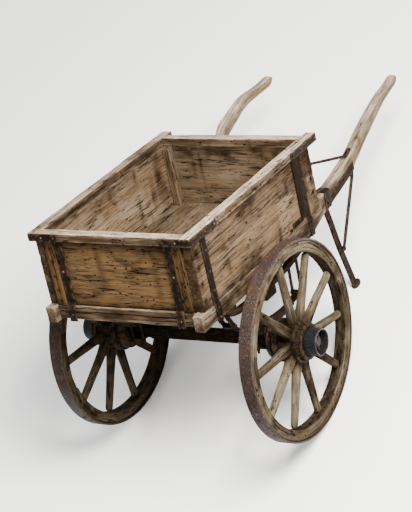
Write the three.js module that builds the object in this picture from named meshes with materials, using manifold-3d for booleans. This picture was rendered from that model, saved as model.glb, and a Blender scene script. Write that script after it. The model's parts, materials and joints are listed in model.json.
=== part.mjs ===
// Weathered wooden hand cart: a planked box on two leaf springs and two spoked wheels.
// Millimetres, +Z up, +X to the cart's right side, +Y towards the handles.
// The pieces are drawn with the top rails level and the axle at the origin. At the end the
// whole cart is tipped back on to its two legs, which is how it stands when it is parked.

import * as THREE from 'three';
import * as BufferGeometryUtils from 'three/addons/utils/BufferGeometryUtils.js';
import Module from 'manifold-3d';

const wasm = await Module();
wasm.setup();

const gap = 0.3;              // between pieces that touch

// Wheels
const wheelRadius = 450;
const tyreThickness = 10;
const rimDepth = 52;
const rimInner = 462;         // x of the rim's inner face
const rimOuter = 524;         // x of the rim's outer face
const rimFacets = 72;
const boreRadius = 21;
// Degrees from straight up, towards the handles; the old spokes no longer stand evenly
const spokeAngles = [-5, 32, 66, 99, 134, 173, 206, 239, 273, 315];

// Box
const wallInside = 348;       // x of the side wall's inner face
const wallOutside = 396;
const frontFace = -494;       // y of the front boards' outer face
const rearFace = 558;         // y of the rear boards' outer face
const endBoard = 30;          // thickness of the front and rear boards
const sillTop = 380;
const seam = 556;             // z of the seam between the two boards of a side or rear wall
const frontSeam = 575;
const railBottom = 688;
const railTop = 728;
const railInside = 360;
const railOutside = 410;
const railFront = -516;
const railRear = 616;
const railWidth = 50;

// Shafts, which are also the box's side sills
const sillInside = 352;
const sillOutside = 402;
const sillBottom = 306;
const sillFront = -535;
const gripX = 348;            // x of the grip's middle
const leftBow = 45;           // how far the left handle has bent outwards

// Running gear
const axleHalf = 25;          // half the side of the square axle
const axleEnd = 372;          // x where the square part ends
const springX = 330;
const springWidth = 40;
const leafThickness = 8;
const ironThickness = 5;

// Legs: where the foot meets the ground, behind and below the axle
const footY = 767;
const footZ = -118;
const legX = 377;

// The tyre stands on one of its flats
const axleHeight = wheelRadius * Math.cos(Math.PI / rimFacets);
const pitch = Math.asin(axleHeight / Math.hypot(footY, footZ)) - Math.atan2(-footZ, footY);

const looks = {
  board: { color: 0x8c7052, roughness: 0.85, metalness: 0 },
  timber: { color: 0x93806a, roughness: 0.85, metalness: 0 },
  rail: { color: 0xa3968a, roughness: 0.8, metalness: 0 },
  batten: { color: 0x9a7a52, roughness: 0.85, metalness: 0 },
  iron: { color: 0x4a423d, roughness: 0.7, metalness: 0.8 },
  tyreIron: { color: 0x6e5f5a, roughness: 0.6, metalness: 0.8 },
  wheelWood: { color: 0x877660, roughness: 0.85, metalness: 0 },
  axleIron: { color: 0x3a3026, roughness: 0.8, metalness: 0.6 },
};

const cart = new THREE.Group();

// A closed mesh with merged corners and its faces pointing out
function closed(geometry) {
  let bare = geometry.clone();
  bare.deleteAttribute('normal');
  bare.deleteAttribute('uv');
  bare = BufferGeometryUtils.mergeVertices(bare, 1e-3);
  const place = bare.attributes.position;
  const index = bare.index.array;
  const kept = [];
  let volume = 0;
  const corner = [new THREE.Vector3(), new THREE.Vector3(), new THREE.Vector3()];
  for (let i = 0; i < index.length; i += 3) {
    const [a, b, c] = [index[i], index[i + 1], index[i + 2]];
    if (a === b || b === c || c === a) continue;
    kept.push(a, b, c);
    [a, b, c].forEach((n, k) => corner[k].fromBufferAttribute(place, n));
    volume += corner[0].dot(corner[1].clone().cross(corner[2]));
  }
  if (volume < 0) kept.reverse();
  bare.setIndex(kept);
  return bare;
}

function solid(geometry) {
  const shape = closed(geometry);
  return new wasm.Manifold(new wasm.Mesh({
    numProp: 3,
    vertProperties: new Float32Array(shape.attributes.position.array),
    triVerts: new Uint32Array(shape.index.array),
  }));
}

function geometryOf(manifold) {
  const mesh = manifold.getMesh();
  const geometry = new THREE.BufferGeometry();
  geometry.setAttribute('position', new THREE.BufferAttribute(mesh.vertProperties, 3));
  geometry.setIndex(new THREE.BufferAttribute(mesh.triVerts, 1));
  return geometry;
}

function joined(...geometries) {
  return geometryOf(geometries.map(solid).reduce((whole, next) => whole.add(next)));
}

function cut(geometry, ...tools) {
  return geometryOf(tools.map(solid).reduce((whole, tool) => whole.subtract(tool), solid(geometry)));
}

// A board or bar between two corners
function block([x0, x1], [y0, y1], [z0, z1]) {
  const box = new THREE.BoxGeometry(x1 - x0, y1 - y0, z1 - z0);
  return box.translate((x0 + x1) / 2, (y0 + y1) / 2, (z0 + z1) / 2);
}

// A side outline of (y, z) points, as thick as the span in x
function sideCut(points, [x0, x1]) {
  const outline = new THREE.Shape(points.map(([y, z]) => new THREE.Vector2(y, z)));
  const slab = new THREE.ExtrudeGeometry(outline, { depth: x1 - x0, bevelEnabled: false });
  const turn = new THREE.Matrix4().makeBasis(
    new THREE.Vector3(0, 1, 0), new THREE.Vector3(0, 0, 1), new THREE.Vector3(1, 0, 0));
  return slab.applyMatrix4(turn).translate(x0, 0, 0);
}

// An end outline of (x, z) points, as long as the span in y
function endCut(points, [y0, y1]) {
  const outline = new THREE.Shape(points.map(([x, z]) => new THREE.Vector2(x, z)));
  const slab = new THREE.ExtrudeGeometry(outline, { depth: y1 - y0, bevelEnabled: false });
  return slab.rotateX(Math.PI / 2).translate(0, y1, 0);
}

// The outline of a bent strip of even thickness along a line of points
function strip(points, thickness) {
  const line = points.map(([a, b]) => new THREE.Vector2(a, b));
  const sides = [[], []];
  line.forEach((point, i) => {
    const before = line[Math.max(i - 1, 0)];
    const after = line[Math.min(i + 1, line.length - 1)];
    const enter = point.clone().sub(before).normalize();
    const leave = after.clone().sub(point).normalize();
    if (i === 0) enter.copy(leave);
    if (i === line.length - 1) leave.copy(enter);
    const along = enter.clone().add(leave).normalize();
    const reach = thickness / 2 / along.dot(enter);
    sides[0].push([point.x - along.y * reach, point.y + along.x * reach]);
    sides[1].unshift([point.x + along.y * reach, point.y - along.x * reach]);
  });
  return [...sides[0], ...sides[1]];
}

function curve(points, steps) {
  const spline = new THREE.SplineCurve(points.map(([a, b]) => new THREE.Vector2(a, b)));
  return spline.getPoints(steps).map((p) => [p.x, p.y]);
}

// The height of a line of (y, z) points at a given y
function heightOn(line, y) {
  const i = Math.max(1, line.findIndex(([place]) => place >= y));
  const [[y0, z0], [y1, z1]] = [line[i - 1], line[i]];
  return z0 + ((z1 - z0) * (y - y0)) / (y1 - y0);
}

// A bar through rectangles; each is its y, its two x and its two z
function loft(sections) {
  const corners = sections.flatMap(([y, [x0, x1], [z0, z1]]) => (
    [x0, y, z0, x1, y, z0, x1, y, z1, x0, y, z1]));
  const last = 4 * (sections.length - 1);
  const faces = [0, 1, 2, 0, 2, 3, last, last + 2, last + 1, last, last + 3, last + 2];
  for (let i = 0; i < last; i += 4) {
    for (let k = 0; k < 4; k += 1) {
      const [a, b] = [i + k, i + ((k + 1) % 4)];
      faces.push(a, a + 4, b + 4, a, b + 4, b);
    }
  }
  const bar = new THREE.BufferGeometry();
  bar.setAttribute('position', new THREE.Float32BufferAttribute(corners, 3));
  bar.setIndex(faces);
  return bar;
}

// A round bar along x between two stations
function roundBar(radius, [x0, x1], y, z, sides = 16) {
  const bar = new THREE.CylinderGeometry(radius, radius, x1 - x0, sides);
  return bar.rotateZ(-Math.PI / 2).translate((x0 + x1) / 2, y, z);
}

// A turned piece on the axle line, from a profile of (x, radius) points
function turned(profile, facets, phase = 0) {
  const points = profile.map(([x, r]) => new THREE.Vector2(r, x));
  return new THREE.LatheGeometry(points, facets, phase).rotateZ(-Math.PI / 2);
}

function add(name, geometry, look, side = 1) {
  const shape = side > 0 ? geometry.clone() : geometry.clone().scale(-1, 1, 1);
  const mesh = new THREE.Mesh(closed(shape), new THREE.MeshStandardMaterial(looks[look]));
  mesh.name = name;
  cart.add(mesh);
}

function addPair(name, geometry, look) {
  add(`${name}_left`, geometry, look, -1);
  add(`${name}_right`, geometry, look, 1);
}

// Shafts: one long timber on each side, sill under the box and handle behind it.
// Behind the box each station is y, the middle's z and the depth.
const handle = [
  [rearFace + gap + 12, 388, 84],
  [640, 396, 80],
  [775, 420, 75],
  [933, 452, 73],
  [1098, 517, 69],
  [1294, 582, 61],
  [1420, 610, 50],
  [1502, 626, 52],
];
const gripEnd = [1534, 634, 30];
const handleTop = curve(handle.map(([y, z, depth]) => [y, z + depth / 2]), 60);
const sillRise = 470;         // y where the lower edge leaves the sill's line
const handleBottom = curve([[sillRise, sillBottom],
  ...handle.slice(1).map(([y, z, depth]) => [y, z - depth / 2])], 60);

// The lower and upper edge at each station
function shaftEdges() {
  const [endY, endZ, endDepth] = gripEnd;
  const edges = [
    [sillFront, sillBottom + 12, sillTop - 12],
    [sillFront + 16, sillBottom, sillTop],
    [sillRise, sillBottom, sillTop],
    [500, heightOn(handleBottom, 500), sillTop],
    [530, heightOn(handleBottom, 530), sillTop],
    [rearFace + gap, heightOn(handleBottom, rearFace + gap), sillTop],
    [handle[0][0], heightOn(handleBottom, handle[0][0]), heightOn(handleTop, handle[0][0])],
  ];
  for (let y = 600; y < 1500; y += 30) {
    edges.push([y, heightOn(handleBottom, y), heightOn(handleTop, y)]);
  }
  edges.push([1500, heightOn(handleBottom, 1500), heightOn(handleTop, 1500)]);
  edges.push([endY, endZ - endDepth / 2, endZ + endDepth / 2]);
  return edges;
}

function shaft(grow, bow = 0) {
  const bendStart = 600;
  const half = (sillOutside - sillInside) / 2 + grow;
  const middle = (sillOutside + sillInside) / 2;
  return loft(shaftEdges().map(([y, low, high]) => {
    const back = Math.max(0, (y - bendStart) / (gripEnd[0] - bendStart));
    const out = THREE.MathUtils.smoothstep(y, 945, 1130) * (1 - THREE.MathUtils.smoothstep(y, 1290, 1510));
    const x = THREE.MathUtils.lerp(middle, gripX, back) + bow * out;
    return [y, [x - half, x + half], [low - grow, high + grow]];
  }));
}

add('shaft_left', shaft(0, leftBow), 'timber', -1);
add('shaft_right', shaft(0), 'timber', 1);

// The outer plate on the shaft's lower half and the strap round the shaft behind the box
const plateSpan = [598, 925];
const strapSpan = [600, 652];
const around = solid(shaft(ironThickness + gap)).subtract(solid(shaft(gap)));
const lowerHalf = curve(handle.map(([y, z]) => [y, z + 8]), 16);
const plateZone = sideCut([[500, 200], [1500, 200], ...lowerHalf.reverse(), [500, 350]], [384, 430]);
const plateCut = around.intersect(solid(plateZone))
  .intersect(solid(block([0, 500], plateSpan, [0, 900])));
const strapCut = around.intersect(solid(block([0, 500], strapSpan, [0, 900])));
addPair('shaft_iron', geometryOf(plateCut.add(strapCut)), 'iron');

// Cross sills and floor
const frontSill = [-508, -456];
const rearSill = [506, 556];
const crossX = [-sillInside + gap, sillInside - gap];
const crossZ = [314, sillTop];
add('cross_sill_front', block(crossX, frontSill, crossZ), 'timber');
add('cross_sill_rear', block(crossX, rearSill, crossZ), 'timber');

const floorTop = 402;
const floorBoards = 5;
const boardGap = 5;
const floorHalf = wallInside - gap;
const boardWidth = (2 * floorHalf - (floorBoards - 1) * boardGap) / floorBoards;
const floorY = [frontFace + endBoard + gap, rearFace - endBoard - gap];
const bearerY = [-240, 10, 260];
const floorPieces = bearerY.flatMap((y) => [
  block(crossX, [y - 30, y + 30], [330, sillTop]),
  block([-floorHalf, floorHalf], [y - 30, y + 30], [360, sillTop + 2]),
]);
for (let i = 0; i < floorBoards; i += 1) {
  const x = -floorHalf + i * (boardWidth + boardGap);
  floorPieces.push(block([x, x + boardWidth], floorY, [sillTop + gap, floorTop]));
}
add('floor', joined(...floorPieces), 'board');

// Walls: two boards each
function levels(split) {
  return [['lower', [sillTop + gap, split - 1.5]], ['upper', [split + 1.5, railBottom - gap]]];
}
const across = [-wallInside + gap, wallInside - gap];
for (const [level, z] of levels(seam)) {
  addPair(`side_board_${level}`, block([wallInside, wallOutside], [frontFace, rearFace], z), 'board');
  add(`rear_board_${level}`, block(across, [rearFace - endBoard, rearFace], z), 'board');
}
for (const [level, z] of levels(frontSeam)) {
  add(`front_board_${level}`, block(across, [frontFace, frontFace + endBoard], z), 'board');
}

// Posts inside the four corners
const postSide = 38;
const postX = [wallInside - gap - postSide, wallInside - gap];
const postZ = [floorTop + gap, railBottom - gap];
const postFrontY = frontFace + endBoard + gap;
const postRearY = rearFace - endBoard - gap;
addPair('corner_post_front', block(postX, [postFrontY, postFrontY + postSide], postZ), 'timber');
addPair('corner_post_rear', block(postX, [postRearY - postSide, postRearY], postZ), 'timber');

// Top rails
const railZ = [railBottom, railTop];
const betweenRails = [-railInside + gap, railInside - gap];
addPair('top_rail', block([railInside, railOutside], [railFront, railRear], railZ), 'rail');
add('top_rail_front', block(betweenRails, [railFront, railFront + railWidth], railZ), 'rail');
add('top_rail_rear', block(betweenRails, [rearFace - 28, rearFace - 28 + railWidth], railZ), 'rail');

// Light battens on the front beside each corner
const battenX = [301, 346];
const battenZ = [sillTop + gap, railBottom - gap];
addPair('front_batten', block(battenX, [frontFace - 12, frontFace - gap], battenZ), 'batten');

// Straps that come down a wall and step over the sill
const half = ironThickness / 2;
const frontStrapX = [259, 298];
const frontStrapLine = [
  [frontFace - gap - half, railBottom - gap],
  [frontFace - gap - half, sillTop + gap + half],
  [frontSill[0] - gap - half, sillTop + gap + half],
  [frontSill[0] - gap - half, crossZ[0] - 6],
];
addPair('front_strap', sideCut(strip(frontStrapLine, ironThickness), frontStrapX), 'iron');

const sideStrapLine = [
  [wallOutside + gap + half, railBottom - gap],
  [wallOutside + gap + half, sillTop + gap + half],
  [sillOutside + gap + half, sillTop + gap + half],
  [sillOutside + gap + half, sillBottom - 10],
];
const sideStrapOutline = strip(sideStrapLine, ironThickness);
addPair('side_strap_front', endCut(sideStrapOutline, [-425, -383]), 'iron');
addPair('side_strap_rear', endCut(sideStrapOutline, [426, 464]), 'iron');

// Corner irons: an L seen from above, round the end of each side rail
const cornerIron = 4;
const cornerZ = [railBottom + 2, railTop - 4];
function cornerPlate(endY, inward, sideEnd, frontReach) {
  const face = endY - inward * (gap + cornerIron);
  const side = block([railOutside + gap, railOutside + gap + cornerIron],
    [Math.min(face, sideEnd), Math.max(face, sideEnd)], cornerZ);
  const across = block([frontReach, railOutside + gap + cornerIron],
    [Math.min(face, face + inward * cornerIron), Math.max(face, face + inward * cornerIron)], cornerZ);
  return joined(side, across);
}
addPair('corner_iron_front', cornerPlate(railFront, 1, -300, 262), 'iron');
addPair('corner_iron_rear', cornerPlate(railRear, -1, 372, railInside), 'iron');

// Stays: bars from the box's rear corners to the shafts
const stayX = [364, 384];
const stayThickness = 13;
const stayY = rearFace + gap + stayThickness / 2;
const stayLine = [[stayY, 632], [stayY, 590], [896, 488], [948, 505]];
addPair('stay', cut(sideCut(strip(stayLine, stayThickness), stayX), shaft(gap)), 'iron');

// Legs, with a flat foot that lies level when the cart is parked
const legWidth = 34;
const legThickness = 16;
const legLine = curve([[628, 347], [652, 262], [684, 133], [724, 10], [footY - 4, footZ + 9]], 12);
const legBar = sideCut(strip(legLine, legWidth), [legX - legThickness / 2, legX + legThickness / 2]);
const footThickness = 10;
const foot = new THREE.BoxGeometry(44, 62, footThickness)
  .translate(0, 10, footThickness / 2).rotateX(pitch).translate(legX, footY, footZ);
const footSpace = new THREE.BoxGeometry(100, 300, 100)
  .translate(0, 0, -50).rotateX(pitch).translate(legX, footY, footZ);
addPair('leg', cut(joined(legBar, foot), footSpace, shaft(ironThickness + 2 * gap)), 'iron');

const braceX = [legX + legThickness / 2 + gap, legX + legThickness / 2 + gap + 8];
const braceLine = [[700, 96], [722, 128], [906, 392], [912, 420]];
addPair('leg_brace', cut(sideCut(strip(braceLine, 26), braceX), shaft(ironThickness + 2 * gap)), 'iron');

// Axle: a square bar with round arms and a nut on each end
const armRadius = 20;
const armEnd = 602;
const nut = [574, 593];
const axleSquare = block([-axleEnd, axleEnd], [-axleHalf, axleHalf], [-axleHalf, axleHalf]);
const nuts = [1, -1].map((side) => roundBar(34, side > 0 ? nut : [-nut[1], -nut[0]], 0, 0, 6));
add('axle', joined(axleSquare, roundBar(armRadius, [-armEnd, armEnd], 0, 0, 24), ...nuts), 'axleIron');

// Leaf springs: y and z along the top leaf's middle, then how far each leaf reaches
const leafLine = [[-250, 190], [-130, 108], [-40, 73], [40, 66], [150, 50], [250, 48], [330, 62]];
const leafReach = [[-250, 330], [-192, 262], [-146, 196], [-100, 136], [-56, 78]];
const eyeRadius = 14;
const leafPoints = curve(leafLine, 40);
const springSpan = [springX - springWidth / 2, springX + springWidth / 2];

function heightAt(y) {
  return heightOn(leafPoints, y);
}

function leaf([from, to], level) {
  const steps = 14;
  const line = [];
  for (let i = 0; i <= steps; i += 1) {
    const y = from + ((to - from) * i) / steps;
    line.push([y, heightAt(y) - level * (leafThickness - 0.5)]);
  }
  return sideCut(strip(line, leafThickness), springSpan);
}

const [frontEye, rearEye] = [leafLine[0], leafLine[leafLine.length - 1]];
const leaves = leafReach.map(leaf);
const eyes = [frontEye, rearEye].map(([y, z]) => roundBar(eyeRadius, springSpan, y, z));
const pinRadius = 7;
const eyeHoles = [frontEye, rearEye].map(([y, z]) => roundBar(pinRadius + gap, [250, 450], y, z, 12));
addPair('leaf_spring', cut(joined(...leaves, ...eyes), ...eyeHoles), 'iron');

// Clamps: plates above and below, and four bolts past the spring and the axle
const clampX = 34;
const clampY = 42;
const boltX = springWidth / 2 + 7;
const boltY = axleHalf + 8;
const boltRadius = 6;
const clampBox = (z0, z1) => block([springX - clampX, springX + clampX], [-clampY, clampY], [z0, z1]);
const bolts = [[1, 1], [1, -1], [-1, 1], [-1, -1]].map(([sx, sy]) => (
  new THREE.CylinderGeometry(boltRadius, boltRadius, 148, 8).rotateX(Math.PI / 2)
    .translate(springX + sx * boltX, sy * boltY, 14)));
const seat = block([springX - springWidth / 2, springX + springWidth / 2],
  [-axleHalf, axleHalf], [axleHalf + gap, 60]);
const clampTop = heightAt(-clampY) + leafThickness / 2 + 1;
const clampWhole = joined(clampBox(clampTop, clampTop + 8), clampBox(-axleHalf - gap - 9, -axleHalf - gap),
  ...bolts);
const underSpring = leafReach.map((reach, level) => {
  const [low, high] = [-60, 60];
  const line = [low, -20, 20, high].map((y) => [y, heightAt(y) - level * (leafThickness - 0.5)]);
  return sideCut(strip(line, leafThickness + 2), springSpan);
});
addPair('spring_clamp', clampWhole, 'iron');
addPair('spring_seat', cut(seat, ...underSpring), 'axleIron');

// Bow under each sill: a long iron with the front spring hanger and a buffer block over the axle
const bowX = [362, 392];
const bowLine = curve([[-318, 284], [-220, 256], [25, 244], [196, 250], [300, 266], [425, 292]], 16);
const bow = sideCut(strip(bowLine, 26), bowX);
const buffer = block(bowX, [-14, 74], [192, 250]);
const cheek = 6;
const cheekSpans = [
  [springSpan[0] - gap - cheek, springSpan[0] - gap],
  [springSpan[1] + gap, springSpan[1] + gap + cheek],
];
const cheekLine = [[-300, 292], [-292, 262], [frontEye[0], frontEye[1]]];
const cheeks = cheekSpans.map((span) => sideCut(strip(cheekLine, 26), span));
const hangerPlate = block([cheekSpans[0][0], sillOutside - 4], [-336, -262], [288, sillBottom - gap]);
const rearPlate = block([bowX[0], sillOutside - 4], [392, 470], [292, sillBottom - gap]);
const frontPin = roundBar(pinRadius, [cheekSpans[0][0] - 8, cheekSpans[1][1] + 8], ...frontEye, 12);
addPair('spring_bow', joined(bow, buffer, ...cheeks, hangerPlate, rearPlate, frontPin), 'iron');

// Shackles: two links from the spring's rear eye up to a pin against the bow
const shackleTop = [338, 244];
const linkLine = [[rearEye[0], rearEye[1]], shackleTop];
const links = cheekSpans.map((span) => sideCut(strip(linkLine, 22), span));
const linkEnds = [rearEye, shackleTop].flatMap((end) => cheekSpans.map((span) => roundBar(15, span, ...end)));
const shacklePins = [
  roundBar(pinRadius, [cheekSpans[0][0] - 8, cheekSpans[1][1] + 4], ...rearEye, 12),
  roundBar(pinRadius, [cheekSpans[0][0] - 8, bowX[0] - gap], ...shackleTop, 12),
];
const aroundBow = sideCut(strip(bowLine, 26 + 2 * gap), bowX);
addPair('shackle', cut(joined(...links, ...linkEnds, ...shacklePins), aroundBow), 'iron');

// Wheels
const rimPhase = Math.PI + pitch + Math.PI / rimFacets;
const tyreBore = wheelRadius - tyreThickness;
const tyre = turned([
  [rimInner, tyreBore], [rimOuter, tyreBore], [rimOuter, wheelRadius], [rimInner, wheelRadius],
  [rimInner, tyreBore],
], rimFacets, rimPhase);
addPair('tyre', tyre, 'tyreIron');

const felloeTop = tyreBore - gap;
const felloeBottom = felloeTop - rimDepth;
const felloeX = [rimInner + 2, rimOuter - 2];
const chamfer = 6;
const felloes = turned([
  [felloeX[0], felloeBottom + chamfer], [felloeX[0] + chamfer, felloeBottom],
  [felloeX[1] - chamfer, felloeBottom], [felloeX[1], felloeBottom + chamfer],
  [felloeX[1], felloeTop], [felloeX[0], felloeTop], [felloeX[0], felloeBottom + chamfer],
], rimFacets, rimPhase);
addPair('felloes', felloes, 'wheelWood');

// Nave and spokes; the profile's columns are x and radius
const naveProfile = [
  [378, boreRadius], [378, 78], [414, 84], [416, 98], [440, 98], [444, 90], [492, 94],
  [514, 92], [515, 97], [531, 97], [532, 88], [545, 78], [546, 82], [556, 82],
  [556, 54], [570, 54], [570, boreRadius], [378, boreRadius],
];
const spokeX = (rimInner + rimOuter) / 2;
const spokeTop = felloeBottom - 1.5;
const spokeFoot = 70;
const spokes = [];
for (const degrees of spokeAngles) {
  const angle = THREE.MathUtils.degToRad(degrees);
  const length = spokeTop - spokeFoot;
  const spoke = new THREE.CylinderGeometry(15, 22, length, 8, 1).scale(1.25, 1, 1)
    .translate(0, spokeFoot + length / 2, 0).rotateX(Math.PI / 2 - angle).translate(spokeX, 0, 0);
  spokes.push(spoke);
}
addPair('nave', joined(turned(naveProfile, 36), ...spokes), 'wheelWood');

const capBore = 54 + gap;
const cap = turned([
  [556 + gap, capBore], [616, capBore], [616, 60], [613, 62], [560, 62], [556 + gap, 60],
  [556 + gap, capBore],
], 36);
addPair('hub_cap', cap, 'iron');

// Parked: tipped back about the axle, and centred on its own footprint
const parked = new THREE.Group();
parked.rotation.x = -pitch;
parked.position.z = axleHeight;
parked.add(cart);

const whole = new THREE.Group();
whole.add(parked);
whole.updateMatrixWorld(true);
const bounds = new THREE.Box3().setFromObject(whole, true);
whole.position.y = -(bounds.min.y + bounds.max.y) / 2;

export default whole;
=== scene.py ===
# Weathered wooden hand cart: the pieces that are seen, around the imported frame.
# They are drawn in the cart's own frame in millimetres, with the rails level and the axle at the
# origin, +X to the cart's right side and +Y to the handles. toParked then stands the cart on its
# wheels and legs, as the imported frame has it.

import bmesh
import bpy
import json
import math
import numpy as np
from mathutils import Matrix, Vector

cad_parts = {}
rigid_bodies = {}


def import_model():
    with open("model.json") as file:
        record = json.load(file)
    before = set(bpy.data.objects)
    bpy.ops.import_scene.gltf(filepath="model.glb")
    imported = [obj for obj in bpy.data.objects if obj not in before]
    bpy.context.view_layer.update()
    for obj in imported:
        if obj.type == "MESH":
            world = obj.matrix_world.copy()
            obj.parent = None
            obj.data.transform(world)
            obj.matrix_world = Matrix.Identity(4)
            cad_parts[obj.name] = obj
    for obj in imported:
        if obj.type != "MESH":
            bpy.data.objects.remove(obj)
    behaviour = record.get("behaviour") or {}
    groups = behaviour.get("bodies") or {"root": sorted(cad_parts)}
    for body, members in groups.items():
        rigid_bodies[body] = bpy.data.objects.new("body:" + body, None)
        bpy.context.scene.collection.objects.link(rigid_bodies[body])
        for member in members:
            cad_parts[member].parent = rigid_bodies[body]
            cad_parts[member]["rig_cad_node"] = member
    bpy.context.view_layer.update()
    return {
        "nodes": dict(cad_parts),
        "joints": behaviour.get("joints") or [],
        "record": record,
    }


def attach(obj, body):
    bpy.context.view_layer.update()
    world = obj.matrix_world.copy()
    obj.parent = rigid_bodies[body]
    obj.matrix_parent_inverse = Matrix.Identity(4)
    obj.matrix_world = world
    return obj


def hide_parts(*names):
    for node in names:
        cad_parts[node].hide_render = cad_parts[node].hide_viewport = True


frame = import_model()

axleSpot = Vector((0, *frame["joints"][0]["pos_m"][1:]))
bedUp = next(m for m in frame["record"]["mounts"] if m["name"] == "bed_floor")["axis"]
tip = Matrix.Rotation(-math.atan2(bedUp[1], bedUp[2]), 4, "X")
toParked = Matrix.Translation(axleSpot) @ tip @ Matrix.Scale(0.001, 4)
sides = ((1, "right"), (-1, "left"))
print("frame loaded:", len(frame["nodes"]), "nodes")


# Camera and light: the camera sees the box as it lies in the photo, so the floor is tilted

camera = {"spot": (4842.36, -6705.95, 3809.97), "right": (0.8459, 0.4941, -0.2009),
          "up": (-0.0383, 0.4321, 0.9011), "lens": 142.35}


def setCamera(values):
    right = Vector(values["right"]).normalized()
    up = Vector(values["up"])
    up = (up - right * up.dot(right)).normalized()
    turn = Matrix((right, up, right.cross(up))).transposed().to_4x4()
    data = bpy.data.cameras.new("camera")
    data.lens = values["lens"]
    data.clip_end = 100
    holder = bpy.data.objects.new("camera", data)
    holder.matrix_world = Matrix.Translation(toParked @ Vector(values["spot"])) @ tip @ turn
    bpy.context.collection.objects.link(holder)
    bpy.context.scene.camera = holder


light = {"sky": (1.0, 0.99, 0.98), "skyPower": 1.15,
         "key": {"spot": (3200, -1900, 4000), "size": 2.4, "power": 1500, "tone": (1.0, 0.97, 0.93)},
         "fill": {"spot": (-3600, -2600, 2400), "size": 3.0, "power": 60, "tone": (0.93, 0.96, 1.0)}}


def setLight(values):
    world = bpy.data.worlds.new("studio")
    world.use_nodes = True
    world.node_tree.nodes["Background"].inputs[0].default_value = (*values["sky"], 1)
    world.node_tree.nodes["Background"].inputs[1].default_value = values["skyPower"]
    bpy.context.scene.world = world
    for name in ("key", "fill"):
        lamp = bpy.data.lights.new(name, "AREA")
        lamp.size = values[name]["size"]
        lamp.energy = values[name]["power"]
        lamp.color = values[name]["tone"]
        holder = bpy.data.objects.new(name, lamp)
        spot = toParked @ Vector(values[name]["spot"])
        aim = (Vector((0, -0.2, 0.7)) - spot).to_track_quat("-Z", "Y").to_matrix().to_4x4()
        holder.matrix_world = Matrix.Translation(spot) @ aim
        bpy.context.collection.objects.link(holder)


setCamera(camera)
setLight(light)


# Seeded noise on arrays of points, the same on each run

def cellValue(cell, seed):
    mixed = cell[:, 0] * 73856093 ^ cell[:, 1] * 19349663 ^ cell[:, 2] * 83492791 ^ seed * 40503
    mixed = ((mixed & 0x7FFFFFFF) * 1103515245 + 12345) & 0x7FFFFFFF
    mixed = ((mixed ^ (mixed >> 15)) * 1274126177) & 0x7FFFFFFF
    return (mixed ^ (mixed >> 13)) / 0x3FFFFFFF - 1


# Smooth noise from -1 to 1; size is the length of a bump along each axis
def bumps(points, size, seed, octaves=1):
    total, strength, reach = 0, 1.0, 0
    for octave in range(octaves):
        place = points * (2 ** octave / np.array(size, float)) + 31.7 * octave + seed * 0.37
        cell = np.floor(place).astype(np.int64)
        part = place - cell
        part = part * part * (3 - 2 * part)
        value = 0
        for corner in range(8):
            step = np.array([corner & 1, corner >> 1 & 1, corner >> 2 & 1])
            share = np.prod(np.where(step, part, 1 - part), axis=1)
            value = value + share * cellValue(cell + step, seed + 101 * octave)
        total, reach, strength = total + value * strength, reach + strength, strength * 0.5
    return total / reach


def fade(value, low, high):
    share = np.clip((value - low) / (high - low), 0, 1)
    return share * share * (3 - 2 * share)


# A part is a mesh, its points in the cart's frame, and what the materials read at each point

def newPart(bm, seed):
    mesh = bpy.data.meshes.new("part")
    bm.to_mesh(mesh)
    bm.free()
    count = len(mesh.vertices)
    points = np.empty(count * 3, np.float32)
    mesh.vertices.foreach_get("co", points)
    points = points.reshape(-1, 3).astype(float)
    return {"mesh": mesh, "points": points, "grain": points + seed * 517.0,
            "edge": np.zeros(count), "crack": np.zeros(count)}


# Places across a length: close at both rims, about a step apart between, and three at each split
def stations(length, step, rim, splits=()):
    half = length / 2
    rim = min(rim, half * 0.45)
    count = max(1, round((length - 2 * rim) / step))
    between = np.linspace(rim - half, half - rim, count + 1)
    places = [-half, -half + rim * 0.4, *between, half - rim * 0.4, half]
    for split in splits:
        at, width = split["at"], split["width"]
        places = [p for p in places if abs(p - at) > width * 1.6]
        places += [at - width, at, at + width]
    return np.array(sorted(places))


# A closed block whose faces are a grid, at the stations given for each axis
def gridBlock(places):
    bm = bmesh.new()
    bmesh.ops.create_cube(bm, size=2)
    for axis, line in enumerate(places):
        edges = [e for e in bm.edges if abs(e.verts[0].co[axis] - e.verts[1].co[axis]) > 1e-4]
        bmesh.ops.subdivide_edges(bm, edges=edges, cuts=len(line) - 2, use_grid_fill=True)
    for vert in bm.verts:
        for axis, line in enumerate(places):
            vert.co[axis] = line[round((vert.co[axis] + 1) / 2 * (len(line) - 1))]
    return bm


# A crack along a face: at is its place across the face, start and stop its reach along the grain
def crackAlong(face, at, start, stop, depth, width):
    return {"face": face, "at": at, "from": start, "to": stop, "depth": depth, "width": width}


# A few cracks at random, clear of each other and of those that are taken
def someSplits(size, count, seed, depth=5.0, faces=("top",), taken=()):
    chance = np.random.default_rng(seed)
    splits = []
    for number in range(count):
        face = faces[number % len(faces)]
        breadth = size[1] if face in ("top", "under") else size[2]
        at = chance.uniform(-0.38, 0.38) * breadth
        if any(s["face"] == face and abs(s["at"] - at) < 14 for s in [*splits, *taken]):
            continue
        long = chance.uniform(0.15, 0.5) * size[0]
        start = chance.choice([-size[0], chance.uniform(-0.5, 0.5) * size[0] - long / 2])
        if start < -size[0] * 0.9:                       # it runs out at one of the ends
            fromFront = (-size[0], size[0] * 0.5 + long)
            toBack = (size[0] * 0.5 - long, size[0])
            start, long = fromFront if chance.random() < 0.5 else toBack
        deep = depth * chance.uniform(0.6, 1.3)
        splits.append(crackAlong(face, at, start, start + long, deep, chance.uniform(1.5, 3.2)))
    return splits


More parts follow.
